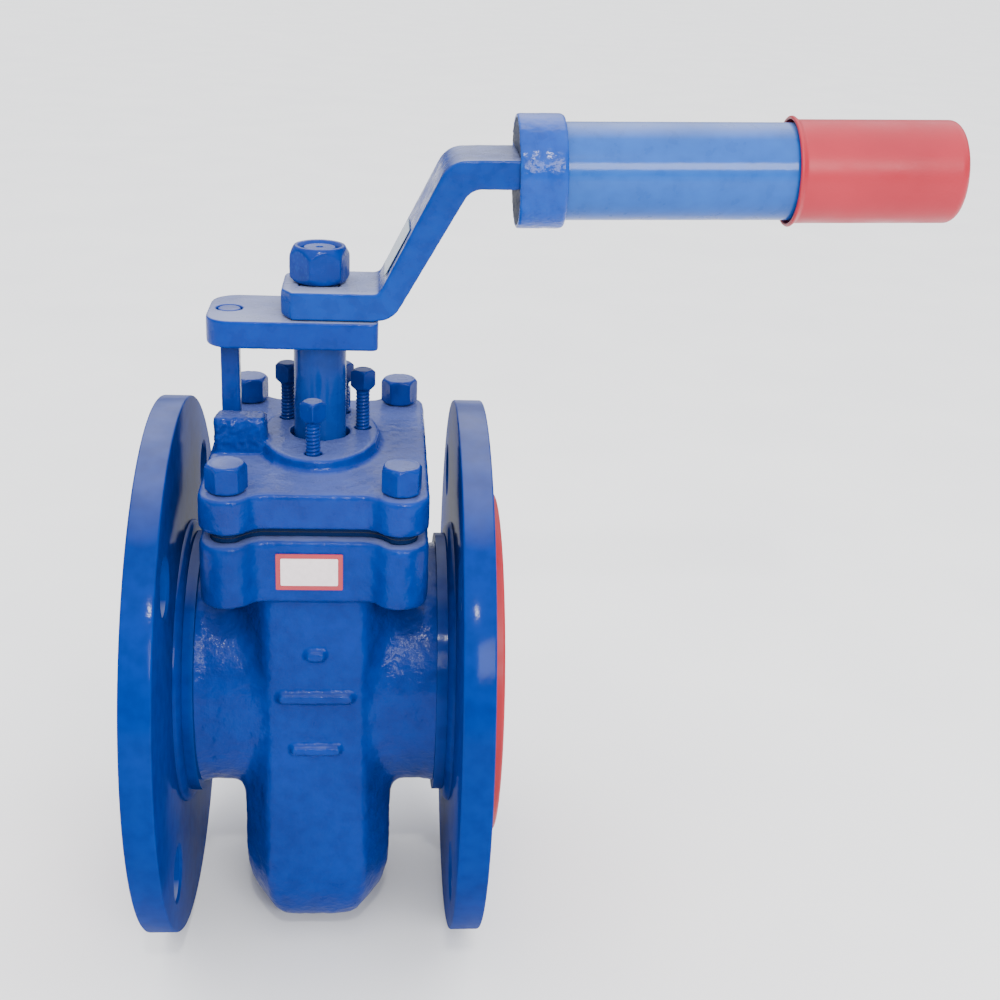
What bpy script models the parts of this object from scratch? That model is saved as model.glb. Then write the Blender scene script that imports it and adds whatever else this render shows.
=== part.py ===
"""Lever-operated flanged plug valve, modelled in metres with +Z up.

The row origin is the centre of the flat foot under the barrel, on the stem axis.
The flow passage runs along X and the stem axis along Z.
"""

import math

import bmesh
import bpy
from mathutils import Matrix, Vector

MM = 0.001
GAP = 0.3 * MM

# Flow line and bolting flanges (3-inch class 150 pattern for the round dimensions).
FLOW_HEIGHT = 87.5 * MM
FLANGE_RADIUS = 95.25 * MM
RAISED_FACE_RADIUS = 63.5 * MM
RAISED_FACE_HEIGHT = 1.6 * MM
FLANGE_OUTER_X = 56.7 * MM
FLANGE_THICKNESS = 10.2 * MM
BOLT_CIRCLE_RADIUS = 76.2 * MM
FLANGE_HOLE_RADIUS = 9.5 * MM
FLANGE_HOLES = 4
HUB_RADIUS = 50.5 * MM
HUB_HEIGHT = 2.5 * MM
NECK_RADIUS = 42.5 * MM
NECK_FILLET = 4.0 * MM
MOUTH_RADIUS = 38.0 * MM
PORT_HALF_WIDTH = 10.0 * MM
PORT_HALF_HEIGHT = 31.0 * MM

# Barrel, measured from the flow line.
BARREL_HALF_X = 25.5 * MM
BARREL_HALF_Y = 44.0 * MM
PANEL_HALF_X = 16.5 * MM
SIDE_HALF_Y = 29.0 * MM
BARREL_CORNER = 4.0 * MM
BARREL_ROUND_START = -61.0 * MM
BARREL_ROUND_INSET = 14.0 * MM

# Top flange and bonnet.
TOP_FLANGE_BOTTOM = 46.0 * MM
TOP_FLANGE_TOP = 68.0 * MM
PLATE_HALF_Y = 48.3 * MM
CORNER_X = 27.4 * MM
CORNER_Y = 45.4 * MM
CORNER_RADIUS = 9.0 * MM
WAVE_RADIUS = 6.0 * MM
PLATE_EDGE_ROUND = 1.4 * MM
DIAPHRAGM_THICKNESS = 1.3 * MM
DIAPHRAGM_INSET = 3.5 * MM
BONNET_TOP = 83.8 * MM
BOSS_TOP = 88.3 * MM
BOSS_HALF_X = 20.0 * MM
BOSS_HALF_Y = 30.0 * MM

# Plug, sleeve and stem.
PLUG_BOTTOM = -62.0 * MM
PLUG_TOP = 60.0 * MM
PLUG_TOP_RADIUS = 19.8 * MM
PLUG_TAPER = math.radians(2.0)
SLEEVE_WALL = 1.5 * MM
BORE_BOTTOM = -68.0 * MM
STEM_RADIUS = 8.75 * MM
STEM_SQUARE = 12.3 * MM
STEM_THREAD_RADIUS = 5.8 * MM
STEM_TOP = 151.6 * MM

# Fasteners.
BONNET_BOLT_CORNER = 6.8 * MM
BONNET_BOLT_HEAD = 9.2 * MM
BONNET_BOLT_SHANK = 3.4 * MM
BONNET_BOLT_LENGTH = 28.0 * MM
ADJUSTER_CORNER = 4.3 * MM
ADJUSTER_HEAD = 7.0 * MM
ADJUSTER_SHANK = 2.45 * MM
ADJUSTER_RING_X = 14.6 * MM
ADJUSTER_RING_Y = 23.0 * MM
ADJUSTER_ANGLES = (-95.5, 10.0, 62.0, 143.5)
ADJUSTER_HEAD_BOTTOMS = (99.4 * MM, 102.2 * MM, 99.5 * MM, 101.2 * MM)
NUT_CORNER = 10.2 * MM
NUT_HEIGHT = 12.0 * MM

# Stop plate, pin and the two stops cast on the bonnet.
STOP_PLATE_BOTTOM = 121.5 * MM
STOP_PLATE_TOP = 130.7 * MM
STOP_PLATE_LEFT = -36.4 * MM
STOP_PLATE_RIGHT = 19.4 * MM
STOP_PLATE_HALF_Y = 17.5 * MM
PIN_OFFSET = 29.6 * MM
PIN_WIDTH = 6.2 * MM
PIN_HEAD_RADIUS = 3.9 * MM
PIN_BOTTOM = 89.4 * MM
STOP_BLOCK_TOP = 96.7 * MM
STOP_BLOCK_LEFT = -34.8 * MM
STOP_BLOCK_RIGHT = -17.4 * MM
STOP_BLOCK_FRONT = -13.6 * MM
BACK_STOP_TOP = 94.4 * MM
BACK_STOP_WIDTH = 6.2 * MM

# Lever and handle.
LEVER_HALF_Y = 16.0 * MM
LEVER_BOTTOM = 131.0 * MM
LEVER_TOP = 140.1 * MM
LEVER_LEFT = -12.2 * MM
LEVER_END_CUT_X = 3.5 * MM
LEVER_END_CUT_Y = 6.0 * MM
CRANK_START_X = 23.4 * MM
CRANK_END_X = 47.6 * MM
CRANK_END_BOTTOM = 174.1 * MM
CRANK_THICKNESS_X = 7.0 * MM
ARM_END_X = 68.0 * MM
ARM_THICKNESS = 9.4 * MM
HANDLE_RISE = math.radians(1.65)
HANDLE_DROP = 2.15 * MM
COLLAR_START_X = 62.8 * MM
COLLAR_LENGTH = 15.6 * MM
COLLAR_RADIUS = 18.2 * MM
COLLAR_FACE = 5.0 * MM
TUBE_RADIUS = 15.6 * MM
TUBE_WALL = 2.2 * MM
TUBE_LENGTH = 132.4 * MM
CAP_START = 89.1 * MM
CAP_LENGTH = 56.3 * MM
CAP_RADIUS = 16.6 * MM
CAP_LIP_RADIUS = 17.8 * MM
CAP_LIP_LENGTH = 3.4 * MM

# Flange covers, sticker and label.
COVER_RADIUS = 61.5 * MM
COVER_THICKNESS = 3.6 * MM
STICKER_SIZE = (21.4 * MM, 12.6 * MM)
STICKER_CENTRE = (-1.6 * MM, 57.4 * MM)
LABEL_LENGTH = 19.5 * MM
LABEL_START = 2.0 * MM
LABEL_WIDTH = 21.0 * MM
FOIL = 0.4 * MM

FINE = 48
MEDIUM = 32
SMALL = 16

BLUE = (0.012, 0.105, 0.47)
DARK_BLUE = (0.010, 0.080, 0.36)
RED = (0.52, 0.05, 0.06)


def clear_scene():
    for obj in list(bpy.data.objects):
        bpy.data.objects.remove(obj, do_unlink=True)


def make_material(name, colour, roughness, metallic=0.0):
    material = bpy.data.materials.new(name)
    material.use_nodes = True
    shader = material.node_tree.nodes["Principled BSDF"]
    shader.inputs["Base Color"].default_value = (*colour, 1.0)
    shader.inputs["Roughness"].default_value = roughness
    shader.inputs["Metallic"].default_value = metallic
    return material


def make_empty(name, location, parent=None, tilt=0.0):
    empty = bpy.data.objects.new(name, None)
    bpy.context.scene.collection.objects.link(empty)
    empty.location = location
    empty.rotation_euler = (0.0, tilt, 0.0)
    empty.parent = parent
    return empty


def make_object(name, bm, parent, material=None, location=(0.0, 0.0, 0.0)):
    """Turn a bmesh into a smooth-shaded object with its faces pointing out."""
    bmesh.ops.recalc_face_normals(bm, faces=bm.faces)
    mesh = bpy.data.meshes.new(name)
    bm.to_mesh(mesh)
    bm.free()
    mesh.shade_smooth()
    mesh.set_sharp_from_angle(angle=math.radians(35.0))
    obj = bpy.data.objects.new(name, mesh)
    bpy.context.scene.collection.objects.link(obj)
    obj.parent = parent
    obj.location = location
    if material:
        mesh.materials.append(material)
    return obj


def as_helper(obj):
    obj.hide_render = True
    obj.display_type = "WIRE"
    return obj


def combine(target, helper, operation):
    modifier = target.modifiers.new(helper.name, "BOOLEAN")
    modifier.operation = operation
    modifier.solver = "EXACT"
    modifier.object = as_helper(helper)


def soften(obj, width, segments=1, angle=50.0):
    modifier = obj.modifiers.new("soften", "BEVEL")
    modifier.width = width
    modifier.segments = segments
    modifier.limit_method = "ANGLE"
    modifier.angle_limit = math.radians(angle)


# Outlines: lists of 2-D points, anticlockwise.

def oval(half_x, half_y, count):
    """Points on an ellipse, turned by half a step so that flats face the axes."""
    steps = [2.0 * math.pi * (i + 0.5) / count for i in range(count)]
    return [(half_x * math.cos(a), half_y * math.sin(a)) for a in steps]


def rounded(corners, radius, steps=4):
    """Round every corner of a convex outline with an arc."""
    points = []
    for i, corner in enumerate(corners):
        here = Vector(corner)
        back = (Vector(corners[i - 1]) - here).normalized()
        ahead = (Vector(corners[(i + 1) % len(corners)]) - here).normalized()
        half = back.angle(ahead) / 2.0
        centre = here + (back + ahead).normalized() * radius / math.sin(half)
        start = here + back * radius / math.tan(half) - centre
        sweep = math.pi - 2.0 * half
        for k in range(steps + 1):
            turn = Matrix.Rotation(sweep * k / steps, 2)
            points.append(tuple(centre + turn @ start))
    return points


def corner_arc(centre_x, centre_y, radius, start, end, steps):
    angles = [start + (end - start) * k / steps for k in range(steps + 1)]
    return [(centre_x + radius * math.cos(a), centre_y + radius * math.sin(a)) for a in angles]


def lobed_quarter(inset):
    """First quadrant of the four-cornered plate: a bolt lobe and the hollow beside it."""
    lobe = CORNER_RADIUS - inset
    wave = WAVE_RADIUS + inset
    wave_y = PLATE_HALF_Y - inset + wave
    wave_x = CORNER_X - math.sqrt((lobe + wave) ** 2 - (wave_y - CORNER_Y) ** 2)
    meet = math.atan2(wave_y - CORNER_Y, wave_x - CORNER_X)
    points = corner_arc(CORNER_X, CORNER_Y, lobe, 0.0, meet, 8)
    points += corner_arc(wave_x, wave_y, wave, meet - math.pi, -math.pi / 2.0, 4)[1:]
    return points


def lobed_plate_outline(inset=0.0):
    first = lobed_quarter(inset)
    second = [(-x, y) for x, y in reversed(first)]
    upper = first + second
    return upper + [(-x, -y) for x, y in upper]


def polygon_radius(sides, corner_radius, turn, angle):
    """Distance from the centre to a regular polygon's edge in a given direction."""
    step = 2.0 * math.pi / sides
    offset = (angle - turn) % step - step / 2.0
    return corner_radius * math.cos(step / 2.0) / math.cos(offset)


def head_ring(sides, corner_radius, turn, limit, count):
    """A ring on a polygon head whose corners are turned down to a limiting circle."""
    ring = []
    for i in range(count):
        angle = turn + 2.0 * math.pi * i / count
        radius = min(polygon_radius(sides, corner_radius, turn, angle), limit)
        ring.append((radius * math.cos(angle), radius * math.sin(angle)))
    return ring


# Solids.

def skin_rings(rings, closed=False):
    """Join rings with equal point counts; cap the ends, or close the loop of rings."""
    bm = bmesh.new()
    rows = [[bm.verts.new(point) for point in ring] for ring in rings]
    count = len(rings[0])
    pairs = list(zip(rows, rows[1:]))
    if closed:
        pairs.append((rows[-1], rows[0]))
    for low, high in pairs:
        for i in range(count):
            j = (i + 1) % count
            bm.faces.new((low[i], low[j], high[j], high[i]))
    if not closed:
        bm.faces.new(rows[0])
        bm.faces.new(rows[-1])
    return bm


def stacked(sections, closed=False):
    """Solid from (height, outline) sections stacked along Z."""
    return skin_rings([[(x, y, z) for x, y in outline] for z, outline in sections], closed)


def prism(outline, bottom, top):
    return stacked([(bottom, outline), (top, outline)])


def turned(profile, count, closed=False):
    """Solid turned about Z from (radius, height) points."""
    return stacked([(height, oval(radius, radius, count)) for radius, height in profile], closed)


def along_x(bm):
    """Lay a solid built along Z so that its length runs along +X."""
    bm.transform(Matrix.Rotation(math.pi / 2.0, 4, "Y"))
    return bm


def box(low, high):
    outline = [(low[0], low[1]), (high[0], low[1]), (high[0], high[1]), (low[0], high[1])]
    return prism(outline, low[2], high[2])


def plug_radius(height):
    return PLUG_TOP_RADIUS - (PLUG_TOP - height) * math.tan(PLUG_TAPER)


# Valve body.

def body_profile():
    """Half profile of flange, hub and neck, from the middle out to the raised face."""
    face = FLANGE_OUTER_X + RAISED_FACE_HEIGHT
    back = FLANGE_OUTER_X - FLANGE_THICKNESS
    hub = back - HUB_HEIGHT
    edge = 0.8 * MM
    fillet = []
    for k in range(4):
        angle = math.pi / 2.0 * k / 3.0
        radius = NECK_RADIUS + NECK_FILLET * (1.0 - math.cos(angle))
        fillet.append((radius, hub - NECK_FILLET * (1.0 - math.sin(angle))))
    return fillet + [
        (HUB_RADIUS, hub),
        (HUB_RADIUS, back),
        (FLANGE_RADIUS - edge, back),
        (FLANGE_RADIUS, back + edge),
        (FLANGE_RADIUS, FLANGE_OUTER_X - edge),
        (FLANGE_RADIUS - edge, FLANGE_OUTER_X),
        (RAISED_FACE_RADIUS, FLANGE_OUTER_X),
        (RAISED_FACE_RADIUS, face),
    ]


def barrel_outline(inset):
    side, front = BARREL_HALF_X - inset, BARREL_HALF_Y - inset
    panel, flank = PANEL_HALF_X - 0.55 * inset, SIDE_HALF_Y - 0.7 * inset
    corners = [(side, -flank), (side, flank), (panel, front), (-panel, front),
               (-side, flank), (-side, -flank), (-panel, -front), (panel, -front)]
    return rounded(corners, BARREL_CORNER, 2)


def add_barrel(body, parent):
    sections = [(TOP_FLANGE_BOTTOM + 4.0 * MM, barrel_outline(0.0))]
    depth = FLOW_HEIGHT + BARREL_ROUND_START
    for k in range(6):
        angle = math.pi / 2.0 * k / 5.0
        inset = BARREL_ROUND_INSET * (1.0 - math.cos(angle))
        sections.append((BARREL_ROUND_START - depth * math.sin(angle), barrel_outline(inset)))
    combine(body, make_object("barrel_form", stacked(sections), parent), "UNION")


def add_top_flange(body, parent):
    plate = make_object(
        "top_flange_form", prism(lobed_plate_outline(), TOP_FLANGE_BOTTOM, TOP_FLANGE_TOP), parent)
    soften(plate, PLATE_EDGE_ROUND)
    combine(body, plate, "UNION")


def cut_passage(body, parent):
    """Each side narrows from the round mouth to the tall port at the plug."""
    port = [(PORT_HALF_HEIGHT * sx, PORT_HALF_WIDTH * sy)
            for sx, sy in ((1, -1), (1, 1), (-1, 1), (-1, -1))]
    port = rounded(port, 3.0 * MM, 7)
    mouth = corner_arc(0.0, 0.0, MOUTH_RADIUS, -math.pi / 4.0 + 0.01,
                       2.0 * math.pi * (1.0 - 1.0 / MEDIUM) - math.pi / 4.0 + 0.01, MEDIUM - 1)
    inner_x, throat_x, mouth_x = 12.0 * MM, 23.0 * MM, 50.0 * MM
    end_x = FLANGE_OUTER_X + 3.0 * MM
    for side in (-1.0, 1.0):
        places = ((inner_x, port), (throat_x, port), (mouth_x, mouth), (end_x, mouth))
        rings = [[(side * x, b, a) for a, b in ring] for x, ring in places]
        name = "passage_left" if side < 0.0 else "passage_right"
        combine(body, make_object(name, skin_rings(rings), parent), "DIFFERENCE")


def cut_flange_holes(body, parent):
    start = FLANGE_OUTER_X - FLANGE_THICKNESS - 2.0 * MM
    length = FLANGE_THICKNESS + 4.0 * MM
    for side in (-1.0, 1.0):
        for k in range(FLANGE_HOLES):
            angle = math.pi / 4.0 + 2.0 * math.pi * k / FLANGE_HOLES
            profile = [(FLANGE_HOLE_RADIUS, 0.0), (FLANGE_HOLE_RADIUS, length)]
            place = (start if side > 0.0 else -start - length,
                     BOLT_CIRCLE_RADIUS * math.cos(angle), BOLT_CIRCLE_RADIUS * math.sin(angle))
            name = f"flange_hole_{'right' if side > 0.0 else 'left'}_{k + 1}"
            hole = make_object(name, along_x(turned(profile, SMALL)), parent, location=place)
            combine(body, hole, "DIFFERENCE")


def bonnet_bolt_places():
    return [(sx * CORNER_X, sy * CORNER_Y) for sx, sy in ((-1, -1), (1, -1), (1, 1), (-1, 1))]


def cut_corner_holes(target, parent, bottom, top, radius, label):
    for k, (x, y) in enumerate(bonnet_bolt_places()):
        profile = [(radius, bottom), (radius, top)]
        hole = make_object(f"{label}_{k + 1}", turned(profile, SMALL), parent, location=(x, y, 0.0))
        combine(target, hole, "DIFFERENCE")


def build_valve_body(parent, paint):
    half = body_profile()
    profile = [(radius, -x) for radius, x in reversed(half)] + half
    body = make_object("valve_body", along_x(turned(profile, FINE)), parent, paint)
    add_barrel(body, parent)
    add_top_flange(body, parent)
    wall = SLEEVE_WALL + 2.0 * GAP
    over = TOP_FLANGE_TOP + 1.0 * MM
    bore = [(plug_radius(BORE_BOTTOM) + wall, BORE_BOTTOM), (plug_radius(over) + wall, over)]
    combine(body, make_object("plug_bore", turned(bore, FINE), parent), "DIFFERENCE")
    cut_passage(body, parent)
    cut_flange_holes(body, parent)
    tapped_bottom = BONNET_TOP - BONNET_BOLT_LENGTH - 1.0 * MM
    cut_corner_holes(body, parent, tapped_bottom, over, BONNET_BOLT_SHANK + GAP, "tapped_hole")


# Plug and seals.

def build_plug(pivot, steel):
    square = head_ring(4, STEM_SQUARE / math.sqrt(2.0), math.pi / 4.0, STEM_RADIUS, FINE)

    def circle(radius):
        return head_ring(4, 10.0 * radius, math.pi / 4.0, radius, FINE)

    shoulder = STOP_PLATE_BOTTOM - GAP
    square_end = LEVER_TOP - GAP
    point = 0.6 * MM
    sections = [
        (PLUG_BOTTOM, circle(plug_radius(PLUG_BOTTOM) - point)),
        (PLUG_BOTTOM + point, circle(plug_radius(PLUG_BOTTOM))),
        (PLUG_TOP - point, circle(PLUG_TOP_RADIUS)),
        (PLUG_TOP, circle(PLUG_TOP_RADIUS - point)),
        (PLUG_TOP, circle(STEM_RADIUS)),
        (shoulder, circle(STEM_RADIUS)),
        (shoulder, square),
        (square_end, square),
        (square_end, circle(STEM_THREAD_RADIUS)),
        (STEM_TOP - point, circle(STEM_THREAD_RADIUS)),
        (STEM_TOP, circle(STEM_THREAD_RADIUS - point)),
    ]
    plug = make_object("plug", stacked(sections), pivot, steel)
    combine(plug, port_cutter("plug_port", pivot, 2.0 * PLUG_TOP_RADIUS), "DIFFERENCE")


def port_cutter(name, parent, half_length):
    outline = [(-half_length, -PORT_HALF_WIDTH), (half_length, -PORT_HALF_WIDTH),
               (half_length, PORT_HALF_WIDTH), (-half_length, PORT_HALF_WIDTH)]
    return make_object(name, prism(outline, -PORT_HALF_HEIGHT, PORT_HALF_HEIGHT), parent)


def build_sleeve(parent, plastic):
    bottom, top = PLUG_BOTTOM + 2.0 * MM, PLUG_TOP - 2.0 * MM
    inner = [(plug_radius(h) + GAP, h) for h in (bottom, top)]
    outer = [(radius + SLEEVE_WALL, h) for radius, h in reversed(inner)]
    sleeve = make_object("plug_sleeve", turned(inner + outer, FINE, closed=True), parent, plastic)
    combine(sleeve, port_cutter("sleeve_port", parent, 2.0 * PLUG_TOP_RADIUS), "DIFFERENCE")


def build_diaphragms(parent, paint):
    bottom = TOP_FLANGE_TOP + GAP
    for name in ("ptfe_diaphragm", "metal_diaphragm"):
        top = bottom + DIAPHRAGM_THICKNESS
        sheet = make_object(name, prism(lobed_plate_outline(DIAPHRAGM_INSET), bottom, top), parent, paint)
        over, under = top + 1.0 * MM, bottom - 1.0 * MM
        hole = [(STEM_RADIUS + GAP, under), (STEM_RADIUS + GAP, over)]
        stem_hole = make_object(f"{name}_stem_hole", turned(hole, MEDIUM), parent)
        combine(sheet, stem_hole, "DIFFERENCE")
        cut_corner_holes(sheet, parent, under, over, BONNET_BOLT_SHANK + GAP, f"{name}_hole")
        bottom = top + GAP


def bonnet_bottom():
    return TOP_FLANGE_TOP + 2.0 * DIAPHRAGM_THICKNESS + 3.0 * GAP


def collar_top():
    return bonnet_bottom() + 6.0 * MM


def build_thrust_collar(parent, steel):
    half_x, half_y = BOSS_HALF_X - 2.7 * MM, BOSS_HALF_Y - 2.7 * MM
    outline = oval(half_x, half_y, MEDIUM)
    hole = oval(STEM_RADIUS + GAP, STEM_RADIUS + GAP, MEDIUM)
    bottom, top = bonnet_bottom(), collar_top()
    rings = [(bottom, outline), (top, outline), (top, hole), (bottom, hole)]
    make_object("thrust_collar", stacked(rings, closed=True), parent, steel)


# Bonnet.

def adjuster_places():
    places = []
    for degrees in ADJUSTER_ANGLES:
        angle = math.radians(degrees)
        places.append((ADJUSTER_RING_X * math.cos(angle), ADJUSTER_RING_Y * math.sin(angle)))
    return places


def add_stop_block(bonnet, parent):
    back = -PIN_WIDTH / 2.0 - GAP
    outline = [(STOP_BLOCK_LEFT, STOP_BLOCK_FRONT), (STOP_BLOCK_RIGHT, STOP_BLOCK_FRONT),
               (STOP_BLOCK_RIGHT, back), (STOP_BLOCK_LEFT, back)]
    block = make_object("stop_block_form", prism(outline, BONNET_TOP - 2.0 * MM, STOP_BLOCK_TOP), parent)
    soften(block, 1.2 * MM)
    combine(bonnet, block, "UNION")


def add_back_stop(bonnet, parent):
    """The lug that meets the pin when the valve is shut, a quarter turn from the block."""
    left = PIN_WIDTH / 2.0 + GAP
    outline = [(left, PIN_OFFSET - BACK_STOP_WIDTH / 2.0), (left + BACK_STOP_WIDTH, PIN_OFFSET - 3.1 * MM),
               (left + BACK_STOP_WIDTH, PIN_OFFSET + 4.5 * MM), (left, PIN_OFFSET + 4.5 * MM)]
    lug = make_object("back_stop_form", prism(outline, BONNET_TOP - 2.0 * MM, BACK_STOP_TOP), parent)
    soften(lug, 0.6 * MM)
    combine(bonnet, lug, "UNION")


def build_bonnet(parent, paint):
    bottom = bonnet_bottom()
    bonnet = make_object("bonnet", prism(lobed_plate_outline(), bottom, BONNET_TOP), parent, paint)
    soften(bonnet, PLATE_EDGE_ROUND)
    flare = 1.5 * MM
    boss = [
        (BONNET_TOP - 2.0 * MM, oval(BOSS_HALF_X + flare, BOSS_HALF_Y + flare, MEDIUM)),
        (BONNET_TOP + 0.5 * MM, oval(BOSS_HALF_X + flare, BOSS_HALF_Y + flare, MEDIUM)),
        (BONNET_TOP + 2.0 * MM, oval(BOSS_HALF_X, BOSS_HALF_Y, MEDIUM)),
        (BOSS_TOP - 1.0 * MM, oval(BOSS_HALF_X, BOSS_HALF_Y, MEDIUM)),
        (BOSS_TOP, oval(BOSS_HALF_X - 1.0 * MM, BOSS_HALF_Y - 1.0 * MM, MEDIUM)),
    ]
    combine(bonnet, make_object("boss_form", stacked(boss), parent), "UNION")
    add_stop_block(bonnet, parent)
    add_back_stop(bonnet, parent)
    pocket = oval(BOSS_HALF_X - 2.4 * MM, BOSS_HALF_Y - 2.4 * MM, MEDIUM)
    pocket_top = collar_top() + GAP
    combine(bonnet, make_object("collar_pocket", prism(pocket, bottom - 1.0 * MM, pocket_top), parent),
            "DIFFERENCE")
    stem_clearance = STEM_RADIUS + 1.2 * MM
    hole = [(stem_clearance, bottom), (stem_clearance, BOSS_TOP + 1.0 * MM)]
    combine(bonnet, make_object("stem_hole", turned(hole, MEDIUM), parent), "DIFFERENCE")
    for k, (x, y) in enumerate(adjuster_places()):
        radius = ADJUSTER_SHANK + GAP
        hole = turned([(radius, pocket_top - 1.0 * MM), (radius, BOSS_TOP + 1.0 * MM)], SMALL)
        cutter = make_object(f"adjuster_hole_{k + 1}", hole, parent, location=(x, y, 0.0))
        combine(bonnet, cutter, "DIFFERENCE")
    cut_corner_holes(bonnet, parent, bottom - 1.0 * MM, BONNET_TOP + 1.0 * MM,
                     BONNET_BOLT_SHANK + GAP, "bonnet_hole")


# Fasteners.

def headed_screw(sides, corner, head, shank, length, turn, count):
    """Polygon head with turned-down corners on a plain shank; the head sits on z = 0."""
    edge = 0.12 * head
    sections = [
        (head, head_ring(sides, corner, turn, 0.84 * corner, count)),
        (head - edge, head_ring(sides, corner, turn, 0.96 * corner, count)),
        (head - 2.0 * edge, head_ring(sides, corner, turn, corner, count)),
        (edge, head_ring(sides, corner, turn, corner, count)),
        (0.0, head_ring(sides, corner, turn, 0.92 * corner, count)),
        (0.0, head_ring(sides, 10.0 * corner, turn, shank, count)),
        (0.5 * MM - length, head_ring(sides, 10.0 * corner, turn, shank, count)),
        (-length, head_ring(sides, 10.0 * corner, turn, shank - 0.5 * MM, count)),
    ]
    return stacked(sections)


def build_bonnet_bolts(parent, paint):
    turns = (8.0, 20.0, 2.0, 14.0)
    seat = BONNET_TOP + GAP
    for k, (x, y) in enumerate(bonnet_bolt_places()):
        screw = headed_screw(6, BONNET_BOLT_CORNER, BONNET_BOLT_HEAD, BONNET_BOLT_SHANK,
                             BONNET_BOLT_LENGTH, math.radians(turns[k]), 24)
        make_object(f"bonnet_bolt_{k + 1}", screw, parent, paint, (x, y, seat))


def build_adjusting_bolts(parent, paint):
    turns = (1.0, 6.0, 12.0, 6.0)
    for k, (x, y) in enumerate(adjuster_places()):
        seat = ADJUSTER_HEAD_BOTTOMS[k]
        length = seat - collar_top() - GAP
        screw = headed_screw(4, ADJUSTER_CORNER, ADJUSTER_HEAD, ADJUSTER_SHANK,
                             length, math.radians(turns[k]), SMALL)
        make_object(f"adjusting_bolt_{k + 1}", screw, parent, paint, (x, y, seat))


def build_stem_nut(pivot, paint):
    turn = math.radians(14.0)
    bottom = LEVER_TOP + GAP
    top = bottom + NUT_HEIGHT
    edge = 1.1 * MM
    hole = STEM_THREAD_RADIUS + GAP
    mouth = hole + 0.9 * MM
    rings = [
        (bottom, head_ring(6, NUT_CORNER, turn, 0.93 * NUT_CORNER, 24)),
        (bottom + edge, head_ring(6, NUT_CORNER, turn, NUT_CORNER, 24)),
        (top - 1.6 * edge, head_ring(6, NUT_CORNER, turn, NUT_CORNER, 24)),
        (top - 0.5 * edge, head_ring(6, NUT_CORNER, turn, 0.95 * NUT_CORNER, 24)),
        (top, head_ring(6, NUT_CORNER, turn, 0.88 * NUT_CORNER, 24)),
        (top, head_ring(6, 10.0 * NUT_CORNER, turn, mouth, 24)),
        (top - 1.0 * MM, head_ring(6, 10.0 * NUT_CORNER, turn, hole, 24)),
        (bottom, head_ring(6, 10.0 * NUT_CORNER, turn, hole, 24)),
    ]
    make_object("stem_nut", stacked(rings, closed=True), pivot, paint)


# Stop plate, lever and handle, all turning with the stem.

def square_hole(name, pivot, bottom, top):
    half = STEM_SQUARE / 2.0 + GAP
    return make_object(name, box((-half, -half, bottom), (half, half, top)), pivot)


def build_stop_plate(pivot, paint):
    half = STOP_PLATE_HALF_Y
    left = rounded([(STOP_PLATE_LEFT, half), (STOP_PLATE_LEFT, -half), (0.0, -half), (0.0, half)],
                   9.0 * MM, 5)
    right = rounded([(0.0, half), (0.0, -half), (STOP_PLATE_RIGHT, -half), (STOP_PLATE_RIGHT, half)],
                    2.0 * MM, 3)
    outline = [p for p in left if p[0] < STOP_PLATE_LEFT / 2.0]
    outline += [p for p in right if p[0] > STOP_PLATE_RIGHT / 2.0]
    plate = make_object("stop_plate", prism(outline, STOP_PLATE_BOTTOM, STOP_PLATE_TOP), pivot, paint)
    soften(plate, 0.9 * MM)
    below, above = STOP_PLATE_BOTTOM - 1.0 * MM, STOP_PLATE_TOP + 1.0 * MM
    combine(plate, square_hole("plate_square", pivot, below, above), "DIFFERENCE")
    radius = PIN_HEAD_RADIUS + GAP
    pin_hole = make_object("pin_hole", turned([(radius, below), (radius, above)], MEDIUM), pivot,
                           location=(-PIN_OFFSET, 0.0, 0.0))
    combine(plate, pin_hole, "DIFFERENCE")


def build_stop_pin(pivot, paint):
    half = PIN_WIDTH / 2.0
    corner = math.hypot(half, half)
    below = STOP_PLATE_BOTTOM - GAP
    square = head_ring(4, corner, math.pi / 4.0, 0.97 * corner, MEDIUM)
    circle = head_ring(4, 10.0 * corner, math.pi / 4.0, PIN_HEAD_RADIUS, MEDIUM)
    small = [(0.9 * x, 0.9 * y) for x, y in square]
    sections = [(PIN_BOTTOM, small), (PIN_BOTTOM + 0.4 * MM, square), (below, square),
                (below, circle), (STOP_PLATE_TOP, circle)]
    make_object("stop_pin", stacked(sections), pivot, paint, (-PIN_OFFSET, 0.0, 0.0))


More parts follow.
